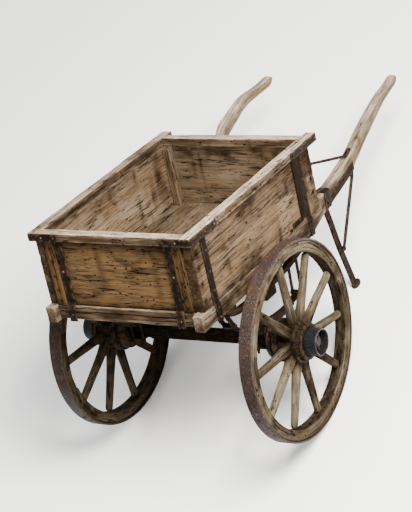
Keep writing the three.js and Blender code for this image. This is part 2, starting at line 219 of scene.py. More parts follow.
# A worn piece of timber or forged bar: x along it, y across, z through it. The section may change
# along it: section(x) gives the middle (y, z), the half sizes (y, z) and the corner radius.
def worn(size, seed, step=(12, 9), edge=3.0, wear=3.0, wave=1.0, ridge=0.6, ends=1.0,
         splits=(), section=None, more=()):
    thickAxis = [s for s in splits if s["face"] in ("left", "right")]
    acrossAxis = [s for s in splits if s["face"] in ("top", "under")]
    rim = edge + wear * 0.5
    along = np.unique(np.concatenate([stations(size[0], step[0], rim), np.array(more, float)]))
    places = (along, stations(size[1], step[1], rim, acrossAxis), stations(size[2], step[1], rim, thickAxis))
    part = newPart(gridBlock(places), seed)
    flat = part["points"]
    part["grain"] = flat + np.array((1, 0.37, 0.61)) * seed * 1000
    half = np.tile(np.array(size) / 2, (len(flat), 1))
    middle = np.zeros_like(flat)
    radius = np.full(len(flat), float(edge))
    if section:
        middle[:, 1], middle[:, 2], half[:, 1], half[:, 2], radius = section(flat[:, 0])
    shape = flat * half / (np.array(size) / 2)
    gone = np.clip(bumps(part["grain"], (85, 40, 40), seed, 2) * 2.2 - 0.25, 0, 1.6)
    nearEnd = np.exp(-(half[:, 0] - np.abs(flat[:, 0])) / 30) * ends
    radius = np.minimum(radius + wear * gone * (1 + nearEnd), 0.96 * half.min(axis=1))
    toFace = np.sort(half - np.abs(shape), axis=1)[:, 1]
    part["edge"] = np.exp(-toFace / (radius * 0.8 + 2.5))
    core = np.clip(shape, radius[:, None] - half, half - radius[:, None])
    out = shape - core
    out /= np.linalg.norm(out, axis=1)[:, None]
    depth = wave * (0.5 + 0.5 * bumps(part["grain"], (240, 90, 90), seed + 5, 2))
    depth += ridge * (0.5 + 0.5 * bumps(part["grain"], (120, 13, 13), seed + 9, 2))
    shape = core + out * radius[:, None]
    for split in splits:
        axis, sign = {"top": (2, 1), "under": (2, -1), "left": (1, -1), "right": (1, 1)}[split["face"]]
        other = 3 - axis
        faced = (flat[:, axis] * sign > size[axis] / 2 - 0.01) * 1.0
        off = np.abs(flat[:, other] - split["at"])
        ramp = min(60, (split["to"] - split["from"]) * 0.3)
        open_ = fade(flat[:, 0], split["from"], split["from"] + ramp)
        open_ = open_ * fade(-flat[:, 0], -split["to"], ramp - split["to"])
        torn = 0.75 + 0.25 * bumps(part["grain"], (25, 900, 900), seed + 13)
        deep = faced * open_ * torn * (off < 0.05)
        depth = depth + split["depth"] * deep
        line = np.column_stack([flat[:, 0], 0 * flat[:, 0], 0 * flat[:, 0] + split["at"]])
        drift = bumps(line, (110, 1, 40), seed + 17, 2) * 5 + bumps(line, (30, 1, 40), seed + 19)
        shape[:, other] += faced * drift * np.exp(-(off / 16) ** 2)
        shade = 0.3 * faced * open_ * (off < split["width"] + 0.05)
        part["crack"] = np.maximum(part["crack"], np.maximum(deep, shade))
    part["points"] = shape - out * depth[:, None] + middle
    return part


def moved(part, points):
    part["points"] = points
    return part


# A piece of timber between cart coordinates, its grain along one axis and its breadth along another
def plank(spans, alongAxis, acrossAxis, seed, splits=0, depth=5.0, faces=("top",), own=(), **values):
    order = (alongAxis, acrossAxis, 3 - alongAxis - acrossAxis)
    size = [spans[axis][1] - spans[axis][0] for axis in order]
    cracks = list(own) + someSplits(size, splits, seed + 40, depth, faces, own)
    part = worn(size, seed, splits=cracks, **values)
    points = np.empty_like(part["points"])
    for place, axis in enumerate(order):
        points[:, axis] = part["points"][:, place] + sum(spans[axis]) / 2
    return moved(part, points)


# Smooth line through points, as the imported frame's curves run
def spline(points, count):
    points = np.array(points, float)
    spots = np.linspace(0, len(points) - 1, count)
    first = np.minimum(spots.astype(int), len(points) - 2)
    t = (spots - first)[:, None]
    p0, p1 = points[np.maximum(first - 1, 0)], points[first]
    p2, p3 = points[first + 1], points[np.minimum(first + 2, len(points) - 1)]
    v0, v1 = (p2 - p0) / 2, (p3 - p1) / 2
    return (2 * p1 - 2 * p2 + v0 + v1) * t ** 3 + (-3 * p1 + 3 * p2 - 2 * v0 - v1) * t ** 2 + v0 * t + p1


# The same corners, each rounded by cutting it back several times
def bent(points, reach=8.0, rounds=3):
    points = [np.array(p, float) for p in points]
    line = [points[0]]
    for before, here, after in zip(points, points[1:], points[2:]):
        back, on = before - here, after - here
        back *= min(reach / np.linalg.norm(back), 0.45)
        on *= min(reach / np.linalg.norm(on), 0.45)
        for t in np.linspace(0, 1, rounds + 2):
            line.append((here + back) * (1 - t) ** 2 + here * 2 * t * (1 - t) + (here + on) * t * t)
    return np.array(line + [points[-1]])


def lineLength(line):
    return float(np.linalg.norm(np.diff(line, axis=0), axis=1).sum())


# Lays a straight part along a line; wide is the direction of its breadth
def laid(part, line, wide):
    line = np.array(line, float)
    length = np.concatenate([[0], np.cumsum(np.linalg.norm(np.diff(line, axis=0), axis=1))])
    way = np.gradient(line, length, axis=0)
    spot = part["points"][:, 0] + length[-1] / 2
    inside = np.clip(spot, 0, length[-1])
    base = np.column_stack([np.interp(inside, length, line[:, k]) for k in range(3)])
    along = np.column_stack([np.interp(inside, length, way[:, k]) for k in range(3)])
    along /= np.linalg.norm(along, axis=1)[:, None]
    wide = np.array(wide, float)
    up = np.cross(along, wide)
    up /= np.linalg.norm(up, axis=1)[:, None]
    base = base + along * (spot - inside)[:, None]
    return moved(part, base + wide * part["points"][:, 1:2] + up * part["points"][:, 2:3])


def inPlane(points, x):
    return [(x, y, z) for y, z in points]


forged = {"step": (9, 9), "edge": 1.2, "wear": 0.9, "wave": 0.7, "ridge": 0.35, "ends": 0.5}


# A forged flat bar along a line
def flatBar(line, breadth, thickness, wide, seed, **values):
    line = np.array(line, float)
    part = worn((lineLength(line), breadth, thickness), seed, **{**forged, **values})
    return laid(part, line, wide)


# Moves points nearer to the axle line, each by its own depth
def pressedIn(points, depth):
    radius = np.hypot(points[:, 1], points[:, 2])
    share = np.maximum(radius - depth, 0) / np.maximum(radius, 1e-3)
    return points * np.column_stack([np.ones(len(points)), share, share])


# A piece turned about the axle line, from (x, radius) points; closed means the points make a ring
def turned(profile, steps, seed, closed=True, fine=8.0, dent=0.5, cracks=()):
    points = list(profile) + ([profile[0]] if closed else [])
    line = [np.array(points[0], float)]
    for here, after in zip(points, points[1:]):
        here, after = np.array(here, float), np.array(after, float)
        pieces = max(1, round(np.linalg.norm(after - here) / fine))
        line += [here + (after - here) * k / pieces for k in range(1, pieces + 1)]
    bm = bmesh.new()
    verts = [bm.verts.new((p[0], 0, p[1])) for p in (line[:-1] if closed else line)]
    rim = [bm.edges.new(pair) for pair in zip(verts, verts[1:])]
    if closed:
        rim.append(bm.edges.new((verts[-1], verts[0])))
    bmesh.ops.spin(bm, geom=verts + rim, axis=(1, 0, 0), cent=(0, 0, 0), angle=2 * math.pi, steps=steps,
                   use_merge=True)
    bmesh.ops.remove_doubles(bm, verts=bm.verts, dist=0.02)
    part = newPart(bm, seed)
    place = part["points"]
    radius = np.hypot(place[:, 1], place[:, 2])
    angle = np.arctan2(place[:, 1], place[:, 2])
    depth = dent * (0.5 + 0.5 * bumps(place + seed * 77.0, (38, 38, 38), seed, 3))
    for crack in cracks:
        off = np.abs((angle - crack["angle"] + math.pi) % (2 * math.pi) - math.pi) * radius
        width = 2 * math.pi / steps * radius * 0.55
        span = fade(place[:, 0], crack["from"] - 1, crack["from"] + 8)
        span = span * fade(-place[:, 0], -crack["to"] - 1, 8 - crack["to"])
        deep = (off < width) * span * fade(radius, crack["floor"], crack["floor"] + 4)
        depth = depth + crack["depth"] * deep
        part["crack"] = np.maximum(part["crack"], deep)
    return moved(part, pressedIn(place, depth))


# Rounds the rims of a block or bar that stands on z
def softenRims(bm, offset, segments=2):
    rims = [e for e in bm.edges if abs(e.verts[0].co.z - e.verts[1].co.z) < 0.1]
    bmesh.ops.bevel(bm, geom=rims, offset=offset, offset_type="OFFSET", affect="EDGES", segments=segments,
                    profile=0.5, material=-1)


# A small part from a primitive, turned so that its z points out of the surface it sits on
def small(bm, at, out, seed, edge=0.4):
    turn = Vector(out).to_track_quat("Z", "Y").to_matrix().to_4x4()
    bm.transform(Matrix.Translation(Vector(at)) @ turn @ Matrix.Rotation(seed * 1.7, 4, "Z"))
    part = newPart(bm, seed)
    part["edge"][:] = edge
    return part


# A rivet's head is bare and bright all over by its edge value: worn iron, with a painted highlight on the
# head
def rivet(at, out, seed, radius=6.0, height=3.6, edge=1.5):
    bm = bmesh.new()
    bmesh.ops.create_uvsphere(bm, u_segments=12, v_segments=7, radius=1)
    bmesh.ops.scale(bm, verts=bm.verts, vec=(radius, radius * 0.94, height))
    return small(bm, at, out, seed, edge)


# A nut or bolt head: a block with its rims rounded, and the bolt's end through it
def nut(at, out, seed, radius=11.0, height=8.0, end=4.0, sidesCount=6):
    bm = bmesh.new()
    bmesh.ops.create_cone(bm, cap_ends=True, segments=sidesCount, radius1=radius, radius2=radius,
                          depth=height, matrix=Matrix.Translation((0, 0, height / 2)))
    softenRims(bm, height * 0.14)
    if end:
        dome = Matrix.Translation((0, 0, height)) @ Matrix.Diagonal((radius * 0.5, radius * 0.5, end, 1))
        bmesh.ops.create_uvsphere(bm, u_segments=12, v_segments=6, radius=1, matrix=dome)
    return small(bm, at, out, seed)


# A round bar or pin between two points, with its rims rounded
def pin(start, stop, radius, seed, segments=20, soft=1.5):
    start, stop = Vector(start), Vector(stop)
    long = (stop - start).length
    bm = bmesh.new()
    bmesh.ops.create_cone(bm, cap_ends=True, segments=segments, radius1=radius, radius2=radius, depth=long,
                          matrix=Matrix.Translation((0, 0, long / 2)))
    softenRims(bm, min(soft, radius * 0.4), 3)
    return small(bm, start, stop - start, seed, 0.15)


# Rust and dark stains that run down from nails and irons; each is (x, y, z, reach)
def stains(points, spots):
    mark = np.zeros(len(points))
    for x, y, z, reach in spots:
        off = points - np.array((x, y, z))
        run = np.where(off[:, 2] < 0, 0.4, 1.0)          # they reach further down than up
        across = (off[:, 0] / reach) ** 2 + (off[:, 1] / reach) ** 2
        mark = np.maximum(mark, np.exp(-(across + (off[:, 2] * run / reach) ** 2)))
    return mark


# The same darkening all over a piece, grime on some pieces and painted shade on others
def even(share):
    return lambda points: np.full(len(points), share)


# Joins the parts, stands them as the cart is parked and gives the piece its body and material.
# It replaces the CAD node of its own name, if nodes doesn't say otherwise.
def makePiece(name, parts, body, slot, material, side=1, spots=(), grime=None, nodes=None):
    whole = bmesh.new()
    rows = {"grain": [], "marks": []}
    turn, shift = np.array(toParked.to_3x3()).T, np.array(toParked.translation)
    for part in parts:
        points = part["points"]
        dirtAndShade = grime(points) if grime else np.zeros(len(points))
        # rust stains, and the painted shade that spokes carry
        mark = np.maximum(stains(points, spots), part.get("stain", 0))
        rows["grain"].append(part["grain"] * 0.001)
        rows["marks"].append(np.column_stack([part["edge"], part["crack"], mark, np.clip(dirtAndShade, 0, 1)]))
        placed = points * np.array((side, 1, 1)) @ turn + shift
        part["mesh"].vertices.foreach_set("co", placed.astype(np.float32).ravel())
        closed = bmesh.new()                             # its faces have to point outwards
        closed.from_mesh(part["mesh"])
        if closed.calc_volume(signed=True) < 0:
            bmesh.ops.reverse_faces(closed, faces=closed.faces)
        closed.to_mesh(part["mesh"])
        closed.free()
        whole.from_mesh(part["mesh"])
        bpy.data.meshes.remove(part["mesh"])
    mesh = bpy.data.meshes.new(name)
    whole.to_mesh(mesh)
    whole.free()
    grain = mesh.attributes.new("grain", "FLOAT_VECTOR", "POINT")
    grain.data.foreach_set("vector", np.concatenate(rows["grain"]).astype(np.float32).ravel())
    marks = mesh.attributes.new("marks", "FLOAT_COLOR", "POINT")
    marks.data.foreach_set("color", np.concatenate(rows["marks"]).astype(np.float32).ravel())
    facing = np.empty(len(mesh.vertices) * 3, np.float32)
    mesh.vertices.foreach_get("normal", facing)
    up = facing.reshape(-1, 3) @ np.array(bedUp, np.float32)
    # faces that look up are bleached by weather and also painted lighter: a painted highlight for the light
    # that falls from above
    sun = mesh.attributes.new("sun", "FLOAT", "POINT")   # faces that look up are bleached
    sun.data.foreach_set("value", fade(up, 0.45, 0.93).astype(np.float32))
    mesh.polygons.foreach_set("use_smooth", np.ones(len(mesh.polygons), bool))
    mesh.set_sharp_from_angle(angle=math.radians(38))
    mesh.materials.append(material)
    piece = bpy.data.objects.new(name, mesh)
    bpy.context.collection.objects.link(piece)
    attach(piece, body)
    if nodes is None:
        nodes = ["".join("_" + c.lower() if c.isupper() else c for c in name)]
    if nodes:
        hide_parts(*nodes)


# Materials: a colour of two hex digits each for red, green and blue
def tone(code):
    parts = [int(code[k:k + 2], 16) / 255 for k in (0, 2, 4)]
    return (*[p / 12.92 if p < 0.04 else ((p + 0.055) / 1.055) ** 2.4 for p in parts], 1)


def addNode(tree, kind, **settings):
    node = tree.nodes.new(kind)
    for name, value in settings.items():
        setattr(node, name, value)
    return node


def feed(tree, socket, value):
    if isinstance(value, bpy.types.NodeSocket):
        tree.links.new(value, socket)
    else:
        socket.default_value = value


def calc(tree, how, a, b=0.0, clamp=False):
    node = addNode(tree, "ShaderNodeMath", operation=how, use_clamp=clamp)
    feed(tree, node.inputs[0], a)
    feed(tree, node.inputs[1], b)
    return node.outputs[0]


def times(tree, a, b, clamp=False):
    return calc(tree, "MULTIPLY", a, b, clamp)


def plus(tree, a, b, clamp=False):
    return calc(tree, "ADD", a, b, clamp)


def minus(tree, a, b):
    return calc(tree, "SUBTRACT", a, b)


def ramp(tree, value, low, high, start=0.0, stop=1.0):
    node = addNode(tree, "ShaderNodeMapRange", interpolation_type="SMOOTHSTEP")
    for socket, number in zip(node.inputs[:5], (value, low, high, start, stop)):
        feed(tree, socket, number)
    return node.outputs[0]


# One colour laid over another, or multiplied into it
def mix(tree, share, a, b, how="MIX"):
    node = addNode(tree, "ShaderNodeMix", data_type="RGBA", blend_type=how)
    feed(tree, node.inputs[0], share)
    feed(tree, node.inputs[6], a)
    feed(tree, node.inputs[7], b)
    return node.outputs[2]


def scaled(tree, place, stretch):
    node = addNode(tree, "ShaderNodeVectorMath", operation="MULTIPLY")
    feed(tree, node.inputs[0], place)
    node.inputs[1].default_value = stretch
    return node.outputs[0]


def speckle(tree, place, stretch, detail=3.0, rough=0.55, twist=0.0):
    node = addNode(tree, "ShaderNodeTexNoise")
    feed(tree, node.inputs["Vector"], scaled(tree, place, stretch))
    node.inputs["Scale"].default_value = 1
    node.inputs["Detail"].default_value = detail
    node.inputs["Roughness"].default_value = rough
    node.inputs["Distortion"].default_value = twist
    return node.outputs[0]


def newGroup(name, ins, outs):
    tree = bpy.data.node_groups.new(name, "ShaderNodeTree")
    kinds = {"f": "NodeSocketFloat", "c": "NodeSocketColor", "v": "NodeSocketVector"}
    for label, kind in ins:
        tree.interface.new_socket(name=label, in_out="INPUT", socket_type=kinds[kind])
    for label, kind in outs:
        tree.interface.new_socket(name=label, in_out="OUTPUT", socket_type=kinds[kind])
    return tree, tree.nodes.new("NodeGroupInput").outputs, tree.nodes.new("NodeGroupOutput").inputs


# Old wood: fibres, rings, grey weather with a painted highlight on top, dark blotches, hairline cracks, worm
# holes, rust stains, and grime with painted shade
def buildWoodGroup():
    tree, ins, outs = newGroup("oldWood", [
        ("Grain", "v"), ("Edge", "f"), ("Crack", "f"), ("StainAndShade", "f"), ("GrimeAndShade", "f"), ("Sun", "f"),
        ("Light", "c"), ("Dark", "c"), ("Grey", "c"), ("Weather", "f"), ("Blotch", "f"), ("Holes", "f")],
        [("Colour", "c"), ("Roughness", "f"), ("Height", "f")])
    place = ins["Grain"]
    streak = speckle(tree, place, (3, 64, 64), 5, 0.6, 0.5)
    fibre = speckle(tree, place, (9, 200, 200), 4, 0.65)
    cloud = speckle(tree, place, (5.5, 11, 11), 4, 0.62, 0.4)
    cloud2 = speckle(tree, place, (14, 34, 34), 4, 0.62)
    fog = speckle(tree, place, (2.2, 4.5, 4.5), 3, 0.5)
    ring = speckle(tree, place, (1.1, 13, 13), 2, 0.5, 0.6)
    ring = calc(tree, "SINE", times(tree, ring, 85.0))
    ring = times(tree, ramp(tree, ring, 0.35, 1.0), ramp(tree, cloud, 0.36, 0.58, 0.25, 1.0))
    hair = calc(tree, "ABSOLUTE", minus(tree, speckle(tree, place, (3.0, 46, 46), 3, 0.55), 0.5))
    hair = times(tree, ramp(tree, hair, 0.028, 0.004), ramp(tree, cloud, 0.46, 0.56))
    worm = addNode(tree, "ShaderNodeTexVoronoi")
    feed(tree, worm.inputs["Vector"], scaled(tree, place, (42, 70, 70)))
    worm.inputs["Scale"].default_value = 1
    pit = times(tree, ramp(tree, worm.outputs["Distance"], 0.34, 0.16), ramp(tree, cloud2, 0.5, 0.6))
    pit = times(tree, pit, ins["Holes"], clamp=True)

    body = plus(tree, times(tree, streak, 0.58), times(tree, fibre, 0.42))
    colour = mix(tree, ramp(tree, body, 0.26, 0.62), ins["Dark"], ins["Light"])
    colour = mix(tree, times(tree, ring, 0.3), colour, ins["Dark"])
    weatherAndTopLight = times(tree, ramp(tree, cloud, 0.4, 0.6), ins["Weather"])
    # upward faces turn grey: weather bleach, and a painted highlight where light falls from above
    weatherAndTopLight = plus(tree, weatherAndTopLight, times(tree, ins["Sun"], ramp(tree, cloud, 0.34, 0.56, 0.45, 1.0)))
    worn = times(tree, ins["Edge"], ramp(tree, cloud2, 0.4, 0.58, 0, 0.7))
    weatherAndTopLight = plus(tree, weatherAndTopLight, worn, clamp=True)
    weatherAndTopLight = times(tree, weatherAndTopLight, ramp(tree, body, 0.34, 0.54, 0.25, 1.0))
    colour = mix(tree, weatherAndTopLight, colour, ins["Grey"])
    gaps = times(tree, ramp(tree, fibre, 0.47, 0.36), 0.55)
    dark = times(tree, ramp(tree, fog, 0.45, 0.62), ramp(tree, cloud, 0.38, 0.62))
    dark = plus(tree, dark, ramp(tree, cloud2, 0.6, 0.7, 0, 0.8))
    dark = times(tree, dark, ins["Blotch"], clamp=True)
    # the stain mark: rust stains, and painted shade on some spokes
    rust = times(tree, ins["StainAndShade"], ramp(tree, cloud2, 0.25, 0.6, 0.6, 1), clamp=True)
    # grime, and painted shade where the pieces ask for it
    dirtAndShade = times(tree, ins["GrimeAndShade"], ramp(tree, cloud2, 0.3, 0.58, 0.68, 1), clamp=True)
    open_ = times(tree, ins["Crack"], 0.97, clamp=True)
    for share, by in ((gaps, (0.32, 0.26, 0.22)), (dark, (0.2, 0.15, 0.12)), (rust, (0.16, 0.095, 0.06)),
                      (dirtAndShade, (0.19, 0.165, 0.143)), (hair, (0.12, 0.09, 0.07)), (pit, (0.1, 0.075, 0.06)),
                      (open_, (0.05, 0.04, 0.03))):
        colour = mix(tree, share, colour, (*by, 1), "MULTIPLY")
    feed(tree, outs["Colour"], colour)
    feed(tree, outs["Roughness"], ramp(tree, body, 0.3, 0.7, 0.95, 0.8))
    high = plus(tree, times(tree, fibre, 0.5), times(tree, streak, 0.7))
    high = minus(tree, high, times(tree, hair, 0.8))
    high = minus(tree, high, times(tree, pit, 0.9))
    feed(tree, outs["Height"], plus(tree, high, times(tree, ring, -0.12)))
    return tree


# Old iron: rust clouds, pitting, bare worn edges, and grime with painted shade
def buildIronGroup():
    tree, ins, outs = newGroup("oldIron", [
        ("Grain", "v"), ("Edge", "f"), ("Crack", "f"), ("GrimeAndShade", "f"), ("Iron", "c"), ("Rust", "c"),
        ("Bright", "c"), ("Rusting", "f"), ("Wear", "f"), ("Specks", "f")],
        [("Colour", "c"), ("Roughness", "f"), ("Metal", "f"), ("Height", "f")])
    place = ins["Grain"]
    cloud = speckle(tree, place, (9, 13, 13), 5, 0.62, 0.3)
    cloud2 = speckle(tree, place, (48, 48, 48), 4, 0.6)
    fine = speckle(tree, place, (170, 170, 170), 3, 0.6)
    scale = speckle(tree, place, (30, 75, 75), 4, 0.65)
    body = plus(tree, times(tree, cloud, 0.6), times(tree, cloud2, 0.4))
    edgeOf = minus(tree, 0.72, times(tree, ins["Rusting"], 0.42))
    rust = ramp(tree, minus(tree, body, edgeOf), -0.07, 0.08)
    deep = mix(tree, ramp(tree, fine, 0.4, 0.62), (0.4, 0.37, 0.35, 1), (1, 1, 1, 1))
    colour = mix(tree, 1.0, ins["Iron"], deep, "MULTIPLY")
    rusty = mix(tree, ramp(tree, cloud2, 0.4, 0.6, 0.0, 0.7), ins["Rust"], (0.02, 0.009, 0.005, 1))
    colour = mix(tree, rust, colour, rusty)
    bare = times(tree, ins["Edge"], ramp(tree, cloud2, 0.42, 0.56))
    bare = times(tree, bare, ins["Wear"], clamp=True)
    colour = mix(tree, bare, colour, ins["Bright"])
    specks = times(tree, ramp(tree, fine, 0.63, 0.68), ins["Specks"], clamp=True)
    colour = mix(tree, specks, colour, ins["Bright"])
    for mark, most, by in (("GrimeAndShade", 0.8, (0.3, 0.26, 0.22, 1)), ("Crack", 0.9, (0.1, 0.08, 0.07, 1))):
        colour = mix(tree, times(tree, ins[mark], most, clamp=True), colour, by, "MULTIPLY")
    feed(tree, outs["Colour"], colour)
    feed(tree, outs["Roughness"], minus(tree, ramp(tree, rust, 0, 1, 0.58, 0.92), times(tree, bare, 0.15)))
    feed(tree, outs["Metal"], ramp(tree, rust, 0, 1, 0.12, 0.0))
    feed(tree, outs["Height"], plus(tree, times(tree, scale, 0.7), times(tree, fine, 0.25)))
    return tree


woodGroup = buildWoodGroup()
ironGroup = buildIronGroup()


# A material round one of the groups, fed with the piece's own grain, marks, and the bleach with painted top
# light
def finish(name, group, values, gloss=0.02):
    material = bpy.data.materials.new(name)
    material.use_nodes = True
    tree = material.node_tree
    shader = tree.nodes["Principled BSDF"]
    effect = addNode(tree, "ShaderNodeGroup", node_tree=group)
    grain = addNode(tree, "ShaderNodeAttribute", attribute_name="grain")
    marks = addNode(tree, "ShaderNodeAttribute", attribute_name="marks")
    split = addNode(tree, "ShaderNodeSeparateColor")
    feed(tree, effect.inputs["Grain"], grain.outputs["Vector"])
    feed(tree, split.inputs[0], marks.outputs["Color"])
    feed(tree, effect.inputs["Edge"], split.outputs[0])
    feed(tree, effect.inputs["Crack"], split.outputs[1])
    feed(tree, effect.inputs["GrimeAndShade"], marks.outputs["Alpha"])
    if "StainAndShade" in effect.inputs:
        feed(tree, effect.inputs["StainAndShade"], split.outputs[2])
        sun = addNode(tree, "ShaderNodeAttribute", attribute_name="sun")
        feed(tree, effect.inputs["Sun"], times(tree, sun.outputs["Fac"], values.pop("Sun")))
    for label, value in values.items():
        effect.inputs[label].default_value = tone(value) if isinstance(value, str) else value
    shader.inputs["Specular IOR Level"].default_value = gloss
    relief = addNode(tree, "ShaderNodeBump")
    relief.inputs["Strength"].default_value = 0.8
    relief.inputs["Distance"].default_value = 0.0018
    feed(tree, relief.inputs["Height"], effect.outputs["Height"])
    feed(tree, shader.inputs["Base Color"], effect.outputs["Colour"])
    feed(tree, shader.inputs["Roughness"], effect.outputs["Roughness"])
    feed(tree, shader.inputs["Normal"], relief.outputs[0])
    if "Metal" in effect.outputs:
        feed(tree, shader.inputs["Metallic"], effect.outputs["Metal"])
    return material


# A wood's light, dark and weathered tones, then how far it is weathered, blotched, worm-eaten, and bleached
# and lit on top (a painted highlight)
woods = {"plankWood": ("64513c", "2e2419", "6d5f4e", 0.75, 0.6, 0.8, 0.3),
         "frontWood": ("5d472d", "21180f", "554834", 0.4, 0.8, 1.3, 0.3),
         "sillWood": ("3c2d1e", "110b07", "6a5d4d", 0.35, 0.9, 0.9, 1.3),
         "railWood": ("4b3a27", "1a130c", "a69480", 0.2, 0.8, 1.6, 1.4),
         "shaftWood": ("5f4e3b", "2a1f15", "938574", 0.65, 0.35, 0.8, 1.1),
         "battenWood": ("503b24", "18110a", "423729", 0.2, 0.6, 1.5, 0.6),
         "wheelWood": ("463a2a", "17120c", "61594a", 0.7, 1.0, 2.4, 0.0),
         # darkWood, for the side battens, is near black: old wood, painted darker for the shade of the
         # channel the batten stands in
         "darkWood": ("19120b", "090604", "241c14", 0.2, 0.6, 0.8, 0.0)}
# An iron's own, rusty and worn tones, then how far it is rusty, worn and speckled, and its gloss
irons = {"rustyIron": ("110b07", "160d06", "5c4b3d", 0.5, 0.4, 0.1, 0.04),
         "springSteel": ("100d0a", "180f08", "332c26", 0.6, 0.4, 0.1, 0.04),
         "tyreIron": ("362c29", "3a281d", "8e7458", 0.4, 0.08, 0.6, 0.12),
         "hubIron": ("141518", "1a130e", "5a5859", 0.3, 0.35, 0.1, 0.12),
         # axleIron is near black: old iron, and painted shade for the axle that lies under the box; nails,
         # sill plates and spring seats share it
         "axleIron": ("090705", "0f0905", "241e19", 0.6, 0.3, 0.1, 0.02)}
looks = {}
for name, row in woods.items():
    labels = ("Light", "Dark", "Grey", "Weather", "Blotch", "Holes", "Sun")
    looks[name] = finish(name, woodGroup, dict(zip(labels, row)))
for name, (*row, gloss) in irons.items():
    labels = ("Iron", "Rust", "Bright", "Rusting", "Wear", "Specks")
    looks[name] = finish(name, ironGroup, dict(zip(labels, row)), gloss)
print("materials ready")


# Box: planks, floor, posts and battens. Its boards reach a little over their seam and into the rail,
# so that no light shows between them.

box = {"wallIn": 348, "wallOut": 396, "front": -494, "rear": 558, "thick": 30, "half": 347.5, "sill": 380,
       "seam": 556, "frontSeam": 575, "rail": 688, "lap": 1.2}
boardWear = {"step": (13, 9), "edge": 2.5, "wear": 3.5, "wave": 1.2, "ridge": 0.7}
sideNails = {"strap": [(y, z) for y in (-404, 445) for z in (440, 527, 625)],
             "end": [(-463, 641), (-467, 575), (-468, 502), (-470, 424), (540, 662), (540, 634), (536, 606),
                     (532, 566), (526, 540), (524, 474)]}
frontNails = ((280, 640), (280, 535), (280, 440), (322, 600), (322, 480))


def levels(seam):
    return ("lower", box["sill"] + 0.5, seam + box["lap"]), ("upper", seam - box["lap"], box["rail"] + 2)


# Painted shade along the foot of the walls, under the rails and at the ends; dirt in runs, and an even
# darkening where asked
def wallShadeAndDirt(points, base=0.0, middle=0.0):
    x, y, z = points.T
    streak = bumps(points * (1, 1, 0.2), (40, 40, 60), 3, 2)
    patch = bumps(points, (170, 170, 120), 23, 2)
    low = np.exp(-(z - box["sill"]) / (24 + 20 * patch)) * (1 - 0.7 * fade(y, -40, 120))
    high = 0.9 * np.exp(-(box["rail"] - z) / (45 + 40 * patch))
    ends = np.exp(-(y - box["front"]) / 4) + 0.7 * np.exp(-(box["rear"] - y) / 30) + 0.3 * fade(-y, 410, 430)
    base = base + middle * np.exp(-((y + 80) / 110) ** 2) + 0.7 * middle * fade(y, 180, 320)
    runs = np.clip(streak * 2.4 - 0.5, 0, 1) * fade(patch, -0.25, 0.3) + base * (0.8 + 0.8 * patch)
    total = low * (1.1 + streak) + high * (0.8 + 0.6 * streak) + ends * (np.abs(x) > 340) + 0.9 * runs
    return np.clip(total, 0, 1)


# Painted shade in front: under the rail, beside the straps and at the foot, with dark streaks
def frontShadeAndStreaks(points):
    x, y, z = points.T
    streak = bumps(points * (1, 1, 0.3), (40, 40, 60), 6, 2)
    high = np.exp(-(box["rail"] - z) / 38)
    beside = np.exp(-np.abs(np.abs(x) - 279) / 30)
    low = np.exp(-(z - box["sill"]) / 26)
    return np.clip(high + 0.85 * beside + low + 0.6 * np.clip(streak * 2.2 - 0.3, 0, 1), 0, 1)


spots = [(box["wallOut"], y, z, 13) for y, z in sideNails["strap"]]
spots += [(box["wallOut"], y, z, 14) for y, z in sideNails["end"]]
for side, label in sides:
    for index, (level, bottom, top) in enumerate(levels(box["seam"])):
        own = [crackAlong("top", 22, -560, 190, 5, 1.2)] if level == "lower" else []
        spans = ((box["wallIn"], box["wallOut"]), (box["front"], box["rear"]), (bottom, top))
        board = plank(spans, 1, 2, 11 + index + 7 * (side > 0), 4, 5, ("top", "under"), own, **boardWear)
        base, middle = (0.55 * index, 0.35) if side > 0 else (0.1 * index, 0.0)
        makePiece(f"sideBoard_{level}_{label}", [board], "cart", "weathered_board", looks["plankWood"], side,
                  spots, lambda p: wallShadeAndDirt(p, base, middle))

spots = [(x * s, box["front"], z, 12) for s in (1, -1) for x, z in frontNails]
ends = {"front": {"y": (box["front"], box["front"] + box["thick"]), "seam": box["frontSeam"], "seed": 31,
                  "wood": "frontWood", "spots": spots, "grime": frontShadeAndStreaks},
        "rear": {"y": (box["rear"] - box["thick"], box["rear"]), "seam": box["seam"], "seed": 36,
                 "wood": "plankWood", "spots": (), "grime": lambda p: wallShadeAndDirt(p, 0.5)}}
for end, wall in ends.items():
    for index, (level, bottom, top) in enumerate(levels(wall["seam"])):
        spans = ((-box["half"], box["half"]), wall["y"], (bottom, top))
        board = plank(spans, 0, 2, wall["seed"] + index, 4, 5, ("top", "under"), **boardWear)
        makePiece(f"{end}Board_{level}", [board], "cart", "weathered_board", looks[wall["wood"]],
                  spots=wall["spots"], grime=wall["grime"])

floor = {"half": 348.5, "boards": 5, "gap": 2.5, "y": (-463.7, 527.7), "z": (380.3, 402),
         "bearers": (-240, 10, 260), "bearerX": (-351.5, 351.5), "bearerHalf": 30, "bearerZ": (330, 380)}
width = (2 * floor["half"] - (floor["boards"] - 1) * floor["gap"]) / floor["boards"]
parts = []
for index in range(floor["boards"]):
    x = -floor["half"] + index * (width + floor["gap"])
    parts.append(plank(((x, x + width), floor["y"], floor["z"]), 1, 0, 51 + index, 3, 4, ("top", "under"),
                       step=(16, 11), edge=2, wear=2.5, wave=1.2, ridge=0.6))
for index, y in enumerate(floor["bearers"]):
    spanY = (y - floor["bearerHalf"], y + floor["bearerHalf"])
    parts.append(plank((floor["bearerX"], spanY, floor["bearerZ"]), 0, 1, 61 + index, 2, 4, ("under",),
                       step=(20, 12), edge=2, wear=3, wave=1, ridge=0.5))
makePiece("floorBoards", parts, "cart", "weathered_board", looks["plankWood"], nodes=["floor"],
          grime=lambda p: 0.55 + 0.3 * bumps(p, (90, 90, 90), 8, 2))

